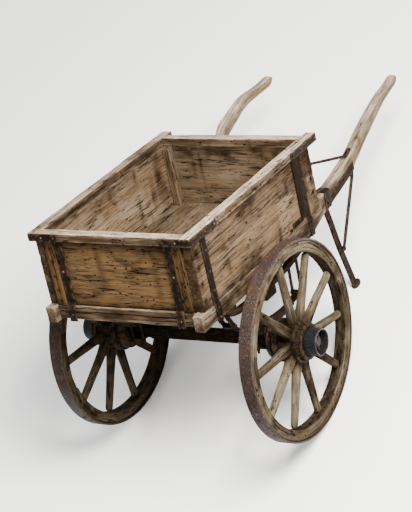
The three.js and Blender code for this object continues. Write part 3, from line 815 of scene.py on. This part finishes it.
post = {"x": (309.7, 347.7), "z": (402.3, 687.7), "ends": {"front": (-463.7, -425.7), "rear": (489.7, 527.7)},
        "wear": {"step": (14, 9), "edge": 3, "wear": 3, "wave": 1, "ridge": 0.6}}
frontBatten = {"spans": ((301, 346), (-506, -494.3), (380.5, 687.5)), "nails": (655, 590, 520, 455, 405),
               "wear": {"step": (11, 7), "edge": 1.8, "wear": 3, "wave": 1, "ridge": 0.8}}
sideBatten = {"spans": ((396, 405), (380, 425.5), (402, 687.5)),
              "wear": {"step": (12, 7), "edge": 1.5, "wear": 2.5, "wave": 1, "ridge": 0.7}}
for side, label in sides:
    for end, spanY in post["ends"].items():
        timber = plank((post["x"], spanY, post["z"]), 2, 0, 71 + side + 3 * (end == "rear"), 2, 4,
                       ("top", "left"), **post["wear"])
        makePiece(f"cornerPost_{end}_{label}", [timber], "cart", "sill_timber", looks["plankWood"], side,
                  grime=even(0.4))
    batten = plank(frontBatten["spans"], 2, 0, 81 + side, 2, 4, ("top", "under"), **frontBatten["wear"])
    # the front battens are darker at the foot, where they meet the sill: painted shade; the right one is
    # darker all over
    base = 0.35 if side > 0 else 0.0
    makePiece(f"frontBatten_{label}", [batten], "cart", "batten_wood", looks["battenWood"], side,
              [(322, -506, z, 7) for z in frontBatten["nails"]],
              lambda p: base + np.exp(-(p[:, 2] - box["sill"]) / 20) * 0.8)
    batten = plank(sideBatten["spans"], 2, 1, 85 + side, 1, 3, ("top", "under"), **sideBatten["wear"])
    makePiece(f"sideBatten_{label}", [batten], "cart", "batten_wood", looks["darkWood"], side, nodes=())
print("box planked")


# Top rails and cross sills

rails = {"x": (360, 410), "y": (-516, 616), "z": (688, 728), "half": 359.7,
         "ends": {"front": ((-516, -466), 95), "rear": ((530, 580), 97)},
         "sideCracks": [crackAlong("top", 7, -600, -60, 6, 2.6), crackAlong("top", -9, 90, 700, 5, 2.2)],
         "endCracks": [crackAlong("top", 4, -500, 110, 6, 2.6)],
         "wear": {"step": (9, 7), "edge": 2.6, "wear": 6, "wave": 2.0, "ridge": 1.8, "ends": 2.0}}
crossSill = {"half": 351.4, "z": (314, 380),
             "ends": {"front": ((-508, -456), 101), "rear": ((506, 556), 103)},
             "cracks": [crackAlong("left", 6, -600, 330, 9, 3.6), crackAlong("left", -14, 60, 345, 7, 3.0),
                        crackAlong("top", 12, -600, 90, 7, 3.0)],
             "wear": {"step": (9, 7), "edge": 2.5, "wear": 6, "wave": 2.2, "ridge": 2.4, "ends": 0.6}}


# Painted shade with dirt on the lower part of the rails; top adds an even darkening all over
def railShadeAndDirt(points, face, top):
    low = face * fade(-points[:, 2], -724, -706) + top
    return low * (0.8 + 0.6 * bumps(points, (140, 140, 30), 19, 2))


for side, label in sides:
    timber = plank((rails["x"], rails["y"], rails["z"]), 1, 0, 91 + 2 * side, 3, 5, ("right", "top", "left"),
                   rails["sideCracks"], **rails["wear"])
    makePiece(f"topRail_{label}", [timber], "cart", "rail_timber", looks["railWood"], side,
              [(412, y, 708, 12) for y in (-485, -394, -300, 382, 469, 548)],
              lambda p: railShadeAndDirt(p, 0.2, 0.1 if side > 0 else 0.6))
for end, (spanY, seed) in rails["ends"].items():
    timber = plank(((-rails["half"], rails["half"]), spanY, rails["z"]), 0, 1, seed, 4, 5, ("left", "top"),
                   rails["endCracks"], **rails["wear"])
    makePiece(f"topRail_{end}", [timber], "cart", "rail_timber", looks["railWood"],
              spots=[(s * x, -518, 708, 11) for s in (1, -1) for x in (275, 345)],
              grime=lambda p: railShadeAndDirt(p, 0.6, 0.2))
for end, (spanY, seed) in crossSill["ends"].items():
    timber = plank(((-crossSill["half"], crossSill["half"]), spanY, crossSill["z"]), 0, 1, seed, 3, 6,
                   ("top", "right"), crossSill["cracks"], **crossSill["wear"])
    makePiece(f"crossSill_{end}", [timber], "cart", "sill_timber", looks["sillWood"],
              grime=lambda p: 0.65 * np.clip(bumps(p, (120, 40, 30), 12, 2) * 1.6 + 0.35, 0, 1))


# Shafts: each is the sill under the box and the handle behind it, sawn from one timber. A station is
# (y, z of the middle, depth); a crack is (face, place across, from y, to y, depth, width).

shaft = {"stations": ((570, 388, 84), (640, 396, 80), (775, 420, 75), (933, 452, 73), (1098, 517, 69),
                      (1294, 582, 61), (1420, 610, 50), (1502, 626, 52)),
         "front": -535, "back": 1534, "top": 380, "low": 306, "lowTo": 470,
         "shoulder": ((560, 380), (566, 428)), "tip": (649, 619),
         "x": 377, "gripX": 348, "half": 25, "leftBow": 45,
         "cracks": (("top", 3, 600, 1010, 5, 2.2), ("right", 10, -520, 120, 6, 2.6),
                    ("right", -10, 300, 1150, 5, 2.4), ("top", -8, 1020, 1350, 4, 2.0)),
         "wear": {"step": (10, 7), "edge": 4, "wear": 4, "wave": 1.3, "ridge": 1.0, "ends": 2.5}}
shaftMiddle = (shaft["front"] + shaft["back"]) / 2
handleTop = spline([(y, z + d / 2) for y, z, d in shaft["stations"]], 60)
handleLow = [(shaft["lowTo"], shaft["low"])] + [(y, z - d / 2) for y, z, d in shaft["stations"][1:]]
handleLow = spline(handleLow, 60)
shaftTop = np.vstack([(shaft["front"], shaft["top"]), *shaft["shoulder"], handleTop,
                      (shaft["back"], shaft["tip"][0])])
shaftLow = np.vstack([(shaft["front"], shaft["low"]), handleLow, (shaft["back"], shaft["tip"][1])])


# The shaft's section at x along it from its middle; bow is how far the handle bends outwards
def shaftSection(x, bow=0.0):
    y = x + shaftMiddle
    top = np.interp(y, shaftTop[:, 0], shaftTop[:, 1])
    low = np.interp(y, shaftLow[:, 0], shaftLow[:, 1])
    back = np.clip((y - 600) / (shaft["back"] - 600), 0, 1)
    middle = shaft["x"] + (shaft["gripX"] - shaft["x"]) * back
    middle = middle + bow * fade(y, 945, 1130) * (1 - fade(y, 1290, 1510))
    radius = 4 + 4 * fade(y, 560, 760) + 11 * fade(y, 1050, 1420)
    return middle, (top + low) / 2, shaft["half"] + 0 * y, (top - low) / 2, radius


# Dirt under the box, at the irons and in patches
def shaftGrime(points):
    y = points[:, 1]
    under = fade(-y, -620, -480) * (0.5 + 0.5 * fade(y, -490, -330))
    under = under * (1.15 + 0.5 * bumps(points, (30, 130, 24), 5, 2))
    patch = np.clip(bumps(points, (60, 160, 60), 29, 2) * 2, 0, 1)
    return under + 0.5 * np.exp(-np.abs(y - 640) / 60) + 0.35 * patch


for side, label in sides:
    cracks = [crackAlong(face, at, start - shaftMiddle, stop - shaftMiddle, depth, width)
              for face, at, start, stop, depth, width in shaft["cracks"]]
    bow = shaft["leftBow"] if side < 0 else 0.0
    rise = [y - shaftMiddle for y in (558.5, 560, 562, 564, 566)]
    timber = worn((shaft["back"] - shaft["front"], 50, 70), 111 + side, splits=cracks, more=rise,
                  section=lambda x: shaftSection(x, bow), **shaft["wear"])
    timber["points"][:, 0] += shaftMiddle
    timber["points"] = timber["points"][:, (1, 0, 2)]
    makePiece(f"shaft_{label}", [timber], "cart", "sill_timber", looks["shaftWood"], side,
              [(377, 1029, 535, 16), (402, 610, 391, 14), (402, 895, 460, 12)], shaftGrime)
print("rails, sills and shafts done")


# Irons on the box: corner irons, straps, stays, nails and sill plates

corner = {"x": 412.3, "front": -518.3, "rear": 618.3, "z": 707, "breadth": 34}
straps = {"frontX": 278.5, "front": ((-496.8, 687.5), (-496.8, 382.8), (-510.8, 382.8), (-510.8, 308)),
          "side": ((398.8, 687.5), (398.8, 382.8), (404.8, 382.8), (404.8, 296.5)),
          "ends": {"front": (-404, 42, (625, 527, 440)), "rear": (445, 38, (651, 570, 471))}}
stay = {"x": 374, "path": ((564.8, 631), (564.8, 590), (896, 488.5), (946, 505.5)), "breadth": 19, "bar": 6.1}
right, front, up = (1, 0, 0), (0, -1, 0), (0, 0, 1)


# A square bar, twisted between its two flat ends
def twistedBar(line, breadth, bar, seed):
    half = lineLength(line) / 2

    def section(x):
        flat = fade(np.abs(x), half - 80, half - 50)
        return 0 * x, 0 * x, bar + (breadth / 2 - bar) * flat, bar + 0.1 * flat, 1.6 + 0 * x

    part = worn((2 * half, breadth, 12.4), seed, step=(3.5, 4), edge=1.6, wear=0.8, wave=0.5, ridge=0.2,
                ends=0.4, section=section)
    x, y, z = part["points"].T
    turn = 16 * math.pi * fade(x, 85 - half, half - 85)
    twisted = [x, y * np.cos(turn) - z * np.sin(turn), y * np.sin(turn) + z * np.cos(turn)]
    return laid(moved(part, np.column_stack(twisted)), line, right)


# A piece of rusty iron on the cart
def ironPiece(name, parts, side, look="rustyIron", **values):
    makePiece(name, parts, "cart", "rusty_iron", looks[look], side, **values)


for side, label in sides:
    x, z = corner["x"], corner["z"]
    line = bent([(262, corner["front"], z), (x, corner["front"], z), (x, -300, z)], 7, 5)
    parts = [flatBar(line, corner["breadth"], 4, up, 131 + side)]
    for y, dz in ((-485, 0), (-394, 1), (-318, -1)):
        parts.append(rivet((x + 1.7, y, z + dz), right, 5 + y, 5.5, 3.4))
    parts += [rivet((k, -520.2, 708), front, k, 5, 3) for k in (277, 340)]
    ironPiece(f"cornerIron_front_{label}", parts, side)
    line = bent([(x, 372, z), (x, corner["rear"], z), (361, corner["rear"], z)], 9, 5)
    parts = [flatBar(line, corner["breadth"], 4, up, 135 + side)]
    parts += [rivet((x + 1.7, y, z), right, y, 6, 3.6) for y in (386, 469, 550, 600)]
    ironPiece(f"cornerIron_rear_{label}", parts, side)

    line = bent(inPlane(straps["front"], straps["frontX"]), 5, 4)
    parts = [flatBar(line, 39, 5, right, 141 + side, wear=1.4)]
    parts += [rivet((279 + 3 * k, -499.6, z), front, z, 6, 3.6) for k, z in enumerate((650, 540, 440))]
    parts += [rivet((279, -513.6, 340), front, 3, 6, 3.6)]
    ironPiece(f"frontStrap_{label}", parts, side)

    for end, (middle, breadth, heights) in straps["ends"].items():
        line = bent([(x, middle, z) for x, z in straps["side"]], 4, 4)
        parts = [flatBar(line, breadth, 5, (0, 1, 0), 145 + side + len(end), wear=1.4)]
        parts += [rivet((401.5, middle + 2, z), right, z, 6.5, 3.8) for z in heights]
        parts += [rivet((407.4, middle, z), right, z, 6.5, 3.8) for z in (362, 318)]
        # the side straps are darkened all over: painted shade, against the key light that falls on this side
        ironPiece(f"sideStrap_{end}_{label}", parts, side, grime=even(0.9))

    line = spline(bent(inPlane(stay["path"], stay["x"]), 16, 5), 80)
    parts = [twistedBar(line, stay["breadth"], stay["bar"], 151 + side)]
    parts.append(nut((374, 570.5, 614), (0, 1, 0), 2, 9, 6, 3))
    parts.append(nut((374, 926, 505), (0, -0.35, 0.94), 4, 8, 5, 3))
    ironPiece(f"stay_{label}", parts, side)

    nails = [rivet((396.2, y, z), right, z, 8, 2.4, 0) for y, z in sideNails["end"]]
    for y in (-60, -52, 232):
        nails += [rivet((396.2, y, z), right, z + y, 4.2, 1.2, 0) for z in (640, 590, 510, 430)]
    for z in frontBatten["nails"]:
        nails.append(rivet((322 + 8 * math.sin(3 * z), -506.2, z), front, z, 4, 1.2, 0))
    nails += [rivet((154, -494.2, z), front, z, 4, 1.2, 0) for z in (640, 600, 500, 430)]
    ironPiece(f"nails_{label}", nails, side, "axleIron", nodes=())

    parts = [flatBar([(398, 300, 404), (398, 398, 404)], 26, 4, up, 161 + side)]
    parts += [nut((399, y, z), right, y, 8, 6, 3) for y, z in ((318, 404), (352, 407), (276, 398))]
    ironPiece(f"sillPlate_{label}", parts, side, "axleIron", nodes=())
print("box irons done")


# Irons on the shafts, legs and their braces

shaftIron = {"span": (598, 925), "strapY": 626, "strapWidth": 51, "thick": 5,
             "bolts": ((612, 0, "nut"), (700, -14, "rivet"), (800, -12, "rivet"), (895, -10, "nut"))}
leg = {"x": 377, "path": ((630, 340), (652, 262), (684, 133), (724, 10), (763, -109)), "bar": (16, 34),
       "foot": (377, 767, -118), "braceX": 389.4, "brace": ((700, 96), (722, 128), (904, 392), (911, 416))}


# The middle of the shaft's section at y (x and z), and its half sizes across and in height
def shaftAt(y):
    return shaftSection(np.array(y, float) - shaftMiddle)[:4]


# The plate along the lower part of the shaft's outer side
def shaftPlate(seed):
    start, stop = shaftIron["span"]
    part = worn((stop - start, 50, shaftIron["thick"]), seed, **forged)
    y = part["points"][:, 0] + (start + stop) / 2
    middle, height, half, deep = shaftAt(y)
    share = (part["points"][:, 1] + 25) / 50             # 0 at the lower edge, 1 at the middle of the side
    z = (height - deep) + share * (deep + 7.5)
    x = middle + half + 3.3 + part["points"][:, 2]
    return moved(part, np.column_stack([x, y, z]))


def shaftStrap(seed):
    middle, height, half, deep = shaftAt(shaftIron["strapY"])
    corners = ((0, 1), (1, 1), (1, -1), (-1, -1), (-1, 1), (-0.02, 1))
    ring = [(middle + px * (half + 3), shaftIron["strapY"], height + pz * (deep + 3)) for px, pz in corners]
    return flatBar(bent(ring, 7, 4), shaftIron["strapWidth"], shaftIron["thick"], (0, 1, 0), seed, wear=1.3)


# The round foot, which lies flat on the ground
def footPad():
    bm = bmesh.new()
    bmesh.ops.create_cone(bm, cap_ends=True, segments=28, radius1=31, radius2=29, depth=9)
    bmesh.ops.scale(bm, verts=bm.verts, vec=(0.71, 1, 1))
    softenRims(bm, 1.5)
    bm.transform(Matrix.Translation(leg["foot"]) @ tip.inverted() @ Matrix.Translation((0, 10, 5.2)))
    pad = newPart(bm, 3)
    pad["edge"][:] = 0.4
    return pad


for side, label in sides:
    parts = [shaftPlate(171 + side), shaftStrap(173 + side)]
    for y, dz, kind in shaftIron["bolts"]:
        middle, height, half, deep = shaftAt(y)
        x = middle + half + 5.8
        parts.append(nut((x, y, height + dz - 6), right, y, 9, 5, 3.5) if kind == "nut"
                     else rivet((x, y, height + dz), right, y, 7, 4))
    y = np.linspace(*shaftIron["span"], 20)
    middle, height, half, deep = shaftAt(y)
    parts.append(flatBar(np.column_stack([middle, y, height - deep - 3.2]), 40, 5, right, 175 + side))
    ironPiece(f"shaftIron_{label}", parts, side)

    line = spline(inPlane(leg["path"], leg["x"]), 60)
    bar = flatBar(line, *leg["bar"], right, 181 + side, step=(9, 6), edge=3, wear=2)
    ironPiece(f"leg_{label}", [bar, footPad()], side, grime=lambda p: 0.6 * fade(p[:, 2], -105, -60))
    line = spline(bent(inPlane(leg["brace"], leg["braceX"]), 22, 5), 60)
    parts = [flatBar(line, 8, 25, right, 185 + side, step=(8, 6), edge=2, wear=1.2),
             nut((393, 706, 105), right, 3, 9, 5, 3)]
    ironPiece(f"legBrace_{label}", parts, side)
print("shaft irons and legs done")


# Axle: a square bar, its round arms, and a nut, an end and a cross pin on each arm

axle = {"x": (-372, 372), "square": (-25, 25), "arm": 19.6, "armFrom": 371, "armTo": 580,
        "nut": 574.3, "endFrom": 575, "endTo": 601, "endRadius": 23, "pin": 596.5}
parts = [plank((axle["x"], axle["square"], axle["square"]), 0, 1, 201, 3, 4, ("left", "top"), step=(13, 8),
               edge=2.5, wear=3, wave=1.2, ridge=0.8)]
for s in (1, -1):
    parts.append(pin((s * axle["armFrom"], 0, 0), (s * axle["armTo"], 0, 0), axle["arm"], 5 + s, 36))
makePiece("axleBar", parts, "cart", "axle_iron", looks["axleIron"], nodes=["axle"], grime=even(0.5))
parts = []
for s in (1, -1):
    parts.append(nut((s * axle["nut"], 0, 0), (s, 0, 0), 1, 33, 18, 0, 8))
    parts.append(pin((s * axle["endFrom"], 0, 0), (s * axle["endTo"], 0, 0), axle["endRadius"], 5 + s, 36, 9))
    parts.append(pin((s * axle["pin"], -8, -33), (s * axle["pin"], 8, 33), 4.5, 3, 12))
makePiece("axleEnds", parts, "cart", "axle_iron", looks["tyreIron"], nodes=(), grime=even(0.75))


# Springs: their leaves, clamps and seats, the bowed irons with the hangers, and the shackles

leaves = {"x": 330, "breadth": 40, "thick": 8,
          "reach": ((-250, 330), (-192, 262), (-146, 196), (-100, 136), (-56, 78)),
          "path": ((-250, 190), (-130, 108), (-40, 73), (40, 66), (150, 50), (250, 48), (330, 62))}
clamp = {"y": 42, "breadth": 68, "low": -29.8, "boltX": 27, "boltY": 33}
springBow = {"x": 377, "path": ((-318, 284), (-220, 256), (25, 244), (196, 250), (300, 266), (425, 292))}
links = {"x": (306.7, 353.3), "hanger": ((-300, 290), (-292, 262), (-250, 190)),
         "shackle": ((330, 62), (338, 244))}
leafLine = spline(leaves["path"], 41)


def leafAt(y, level):
    return np.interp(y, leafLine[:, 0], leafLine[:, 1]) - level * (leaves["thick"] - 0.5)


# A ring or a round link end, turned about a line along x through (y, z)
def roundEnd(profile, y, z, steps, seed, **values):
    part = turned(profile, steps, seed, **values)
    part["points"] += np.array((0, y, z))
    return part


def eye(y, z, seed):
    return roundEnd([(310, 7.4), (350, 7.4), (350, 14), (310, 14)], y, z, 28, seed, fine=7, dent=0.4)


def linkEnd(x, y, z):
    return roundEnd([(x - 3, 0.1), (x - 3, 15), (x + 3, 15), (x + 3, 0.1)], y, z, 24, 4, closed=False, fine=6,
                    dent=0.3)


for side, label in sides:
    parts = []
    for level, (start, stop) in enumerate(leaves["reach"]):
        y = np.linspace(start, stop, 30)
        line = np.column_stack([np.full(30, leaves["x"]), y, leafAt(y, level)])
        parts.append(flatBar(line, leaves["breadth"] - 0.6 * level, 7.2, right, 211 + level + side * 6,
                             step=(12, 8), edge=1.6, wear=1))
    parts += [eye(*leafLine[0], 5), eye(*leafLine[-1], 6)]
    makePiece(f"leafSpring_{label}", parts, "cart", "spring_steel", looks["springSteel"], side)

    clampTop = float(leafAt(-clamp["y"], 0)) + 5
    parts = []
    for z, thick, seed in ((clampTop + 4, 8, 221), (clamp["low"], 9, 223)):
        line = [(leaves["x"], -clamp["y"], z), (leaves["x"], clamp["y"], z)]
        parts.append(flatBar(line, clamp["breadth"], thick, right, seed + side, edge=2))
    for sx in (-clamp["boltX"], clamp["boltX"]):
        for sy in (-clamp["boltY"], clamp["boltY"]):
            x = leaves["x"] + sx
            parts.append(pin((x, sy, -60), (x, sy, 88), 6, 3, 12))
            parts.append(nut((x, sy, -34.5), (0, 0, -1), sx + sy, 11, 10, 0))
            parts.append(nut((x, sy, clampTop + 7.5), up, sx - sy, 10, 7, 0))
    ironPiece(f"springClamp_{label}", parts, side, "springSteel")
    seat = plank(((310, 350), axle["square"], (25.3, 38)), 1, 0, 225 + side, step=(9, 8), edge=2, wear=1)
    makePiece(f"springSeat_{label}", [seat], "cart", "axle_iron", looks["axleIron"], side)

    # the bowed iron under the sill, its buffer block, and the front hanger with its plates
    line = spline(inPlane(springBow["path"], springBow["x"]), 60)
    parts = [flatBar(line, 30, 26, right, 231 + side, edge=3, wear=2),
             plank(((362, 392), (-14, 74), (192, 245)), 2, 1, 233 + side, 1, 4, ("top",), edge=3, wear=3)]
    for x in links["x"]:
        parts.append(flatBar(bent(inPlane(links["hanger"], x), 10, 3), 6, 26, right, 235 + int(x), edge=1.5))
        parts.append(linkEnd(x, -250, 190))
    parts.append(flatBar([(350.8, -336, 297), (350.8, -262, 297)], 94, 17, right, 241 + side, edge=2))
    parts.append(flatBar([(380, 392, 298.8), (380, 470, 298.8)], 36, 13, right, 243 + side, edge=2))
    parts += [pin((296, -250, 190), (364, -250, 190), 7, 3, 14), nut((358, -250, 190), right, 3, 11, 7, 3)]
    ironPiece(f"springBow_{label}", parts, side, "springSteel")

    (y, z), (topY, topZ) = links["shackle"]
    parts = []
    for x in links["x"]:
        parts.append(flatBar([(x, y, z), (x, topY, topZ)], 6, 21, right, 245 + int(x), edge=1.5))
        parts += [linkEnd(x, y, z), linkEnd(x, topY, topZ)]
    parts += [pin((296, y, z), (360, y, z), 7, 3, 14), pin((296, topY, topZ), (361, topY, topZ), 7, 3, 14),
              nut((356, y, z), right, 3, 10, 6, 2), nut((303, y, z), (-1, 0, 0), 3, 10, 6, 2)]
    ironPiece(f"shackle_{label}", parts, side, "springSteel")
print("axle and springs done")


# Wheels: angles are in degrees from the top. A scar is a worn spot on the rim's inner side, and a
# painted shade is how dark the spoke at the same place in the list is painted, for the shade it stands in.

wheel = {"x": 493, "rimTop": 439.7, "rimFoot": 387.7, "rimWidth": 58, "joints": (-26, 75, 158, 254),
         "scars": ((505, 160, -334), (500, 371, 72)), "spokeLong": 318, "spokeMiddle": 229,
         "spokes": (-5, 32, 66, 99, 134, 173, 206, 239, 273, 315),
         "paintedShades": (0.35, 0.1, 0.0, 0.35, 0.6, 0.3, 0.1, 0.0, 0.55, 0.6)}
tyre = {"x": (462, 524), "profile": [(462, 440), (524, 440), (524, 446.5), (522.6, 448.8), (520, 449.7),
                                     (493, 449.9), (466, 449.7), (463.4, 448.8), (462, 446.5)]}
nave = {"wood": [(380, 21.5), (380, 76), (414, 84), (440, 88), (470, 91), (492, 93.5), (514, 91.5),
                 (532, 87.5), (545, 77.5), (555.5, 70), (555.5, 54.6), (569, 54), (569, 21.5)],
        "bands": {"collar": [(378, 60), (378, 80), (381, 85), (400, 88), (400, 60)],
                  "inner": [(416, 85), (416, 97), (418, 98), (438, 98), (440, 97), (440, 85)],
                  "outer": [(515, 88), (515, 95.5), (516.5, 97), (529.5, 97), (531, 95.5), (531, 86)],
                  "lip": [(545.5, 74), (545.5, 80), (547, 82), (554, 82), (555.7, 80), (555.7, 70)]},
        "cap": [(556.4, 54.6), (615, 54.6), (616, 56), (616, 59.5), (614, 61.2), (611, 62), (562, 62),
                (556.4, 60.5)]}


# The iron tyre: hammered flat by the road, its rims rounded and nicked
def tyrePart(seed):
    ring = turned(tyre["profile"], 220, seed, fine=5, dent=0.0)
    place = ring["points"]
    outer = fade(np.hypot(place[:, 1], place[:, 2]), 441, 446)
    dip = outer * (1.0 * (0.5 + 0.5 * bumps(place, (45, 45, 30), seed, 3))
                   + 1.6 * np.clip(bumps(place, (26, 26, 14), seed + 3, 2) * 2 - 0.9, 0, 1))
    toRim = np.minimum(place[:, 0] - tyre["x"][0], tyre["x"][1] - place[:, 0])
    ring["edge"] = outer * np.exp(-toRim / 2.0)
    return moved(ring, pressedIn(place, dip))


# One of the curved pieces of the rim: x along it, y outwards, z along the axle
def felloePart(index, seed):
    middleRadius = (wheel["rimTop"] + wheel["rimFoot"]) / 2
    joints = (*wheel["joints"], wheel["joints"][0] + 360)
    start = math.radians(joints[index])
    sweep = math.radians(joints[index + 1]) - start
    size = (sweep * middleRadius + 2.5, wheel["rimTop"] - wheel["rimFoot"], wheel["rimWidth"])
    chance = np.random.default_rng(seed)
    cracks = [crackAlong(face, chance.uniform(-most, most), begin, stop, depth, width)
              for face, most, begin, stop, depth, width in (
                  ("top", 14, -400, -60, 6, 1.2), ("top", 14, 40, 400, 6, 1.4),
                  ("under", 12, -80, 400, 6, 1.2), ("left", 14, -400, -40, 5, 1.2))]
    if abs(cracks[0]["at"] - cracks[1]["at"]) < 6:
        cracks[1]["at"] += 12 if cracks[1]["at"] < 0 else -12
    part = worn(size, seed, step=(9, 6), edge=4, wear=5, wave=1.8, ridge=1.6, ends=2.2, splits=cracks)
    along, outward, across = part["points"].T
    angle = start + sweep / 2 + along / middleRadius
    radius = middleRadius + outward
    return moved(part, np.column_stack([wheel["x"] + across, radius * np.sin(angle), radius * np.cos(angle)]))


def spokeSection(x):
    share = np.clip((x + 160) / wheel["spokeLong"], 0, 1)   # 0 at the nave, 1 at the rim
    across = 27 - 8 * share - 1.5 * np.sin(share * math.pi)
    axial = 21 - 5 * share - 1.0 * np.sin(share * math.pi)
    return 0 * x, 0 * x, across, axial, np.minimum(across, axial) * (0.55 + 0.35 * fade(share, 0.08, 0.3))


def spokePart(degrees, seed):
    angle = math.radians(degrees)
    part = worn((wheel["spokeLong"], 50, 40), seed, step=(9, 6), edge=8, wear=2, wave=1.2, ridge=1.1, ends=0,
                splits=someSplits((wheel["spokeLong"], 44, 36), 2, seed + 5, 4, ("top", "under")),
                section=spokeSection)
    along, across, axial = part["points"].T
    reach = along + wheel["spokeMiddle"]
    y = reach * math.sin(angle) + across * math.cos(angle)
    z = reach * math.cos(angle) - across * math.sin(angle)
    return moved(part, np.column_stack([wheel["x"] + axial, y, z]))


# Painted shade on the inner side of the rim; darker along the tyre, at the scars and in patches
def felloeShadeAndDirt(points):
    radius = np.hypot(points[:, 1], points[:, 2])
    patch = np.clip(bumps(points, (60, 60, 60), 15, 3) * 2.2 + 0.1, 0, 1)
    scar = sum(np.exp(-((points - spot) ** 2).sum(axis=1) / 22 ** 2) for spot in wheel["scars"])
    return 0.75 * patch + 0.75 * fade(-radius, -398, -389) + 0.7 * fade(radius, 430, 438) + scar


# Painted shade on the lower part of the tyre, which the light from above misses, and dirt in patches
def tyreShadeAndDirt(points):
    low = fade(-0.55 * points[:, 1] - 0.83 * points[:, 2], -60, 330)
    return 0.7 * low + 0.4 * np.clip(bumps(points, (90, 90, 90), 27, 2) * 2, 0, 1)


def naveGrime(points):
    near = fade(-np.hypot(points[:, 1], points[:, 2]), -170, -90)
    return near + 0.4 * np.clip(bumps(points, (50, 50, 50), 9, 2) * 2, 0, 1)


for side, label in sides:
    body = f"wheel_{label}"
    shift = 20 * (side > 0)
    # the left wheel's darkening is painted shade, for the shadow of the cart it stands in; it is strongest on
    # the inner side
    farWheelShade = 0.6 * (side < 0)                               # the left wheel shows its muddy inner side

    def withFarWheelShade(grime):
        return lambda points: farWheelShade * (0.4 + 0.6 * fade(-points[:, 0], -500, -470)) + grime(points)

    makePiece(f"tyre_{label}", [tyrePart(301 + shift)], body, "tyre_iron", looks["tyreIron"], side,
              grime=withFarWheelShade(tyreShadeAndDirt))
    felloes = [felloePart(k, 311 + k + shift) for k in range(len(wheel["joints"]))]
    makePiece(f"felloes_{label}", felloes, body, "wheel_wood", looks["wheelWood"], side,
              grime=withFarWheelShade(felloeShadeAndDirt))

    chance = np.random.default_rng(330 + shift)
    cracks = [{"angle": a + chance.uniform(-0.1, 0.1), "from": chance.choice([446, 470, 515]),
               "to": chance.choice([535, 552, 556]), "floor": 62, "depth": chance.uniform(4, 9)}
              for a in np.linspace(0, 2 * math.pi, 17)[:-1]]
    parts = [turned(nave["wood"], 120, 331 + shift, fine=6, dent=1.4, cracks=cracks)]
    for k, (degrees, shade) in enumerate(zip(wheel["spokes"], wheel["paintedShades"])):
        parts.append(spokePart(degrees, 341 + 3 * k + shift))
        # the spoke's painted shade goes in with the stains
        parts[-1]["stain"] = shade
    makePiece(f"nave_{label}", parts, body, "wheel_wood", looks["wheelWood"], side, grime=withFarWheelShade(naveGrime))

    bands = []
    for name, profile in nave["bands"].items():
        bands.append(turned(profile, 96, 361 + shift + len(name), fine=5, dent=0.7))
        bands[-1]["edge"][:] = 0.35
    makePiece(f"naveBands_{label}", bands, body, "hub_iron", looks["rustyIron"], side, nodes=())
    cap = turned(nave["cap"], 96, 371 + shift, fine=5, dent=0.5)
    cap["edge"] = np.exp(-np.abs(616 - cap["points"][:, 0]) / 1.5)
    makePiece(f"hubCap_{label}", [cap], body, "hub_iron", looks["hubIron"], side)
print("wheels done")


# The studio's floor: a sheet of pale paper, which isn't part of the object
def studioFloor():
    bm = bmesh.new()
    bmesh.ops.create_grid(bm, x_segments=1, y_segments=1, size=40)
    mesh = bpy.data.meshes.new("studioFloor")
    bm.to_mesh(mesh)
    bm.free()
    material = bpy.data.materials.new("palePaper")
    material.use_nodes = True
    shader = material.node_tree.nodes["Principled BSDF"]
    shader.inputs["Base Color"].default_value = (0.93, 0.93, 0.925, 1)
    shader.inputs["Roughness"].default_value = 0.95
    mesh.materials.append(material)
    paper = bpy.data.objects.new("studioFloor", mesh)
    bpy.context.collection.objects.link(paper)


studioFloor()
pieces = [o for o in bpy.data.objects if o.type == "MESH" and not o.get("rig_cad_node")]
print("triangles in the pieces:", sum(len(p.vertices) - 2 for o in pieces for p in o.data.polygons))
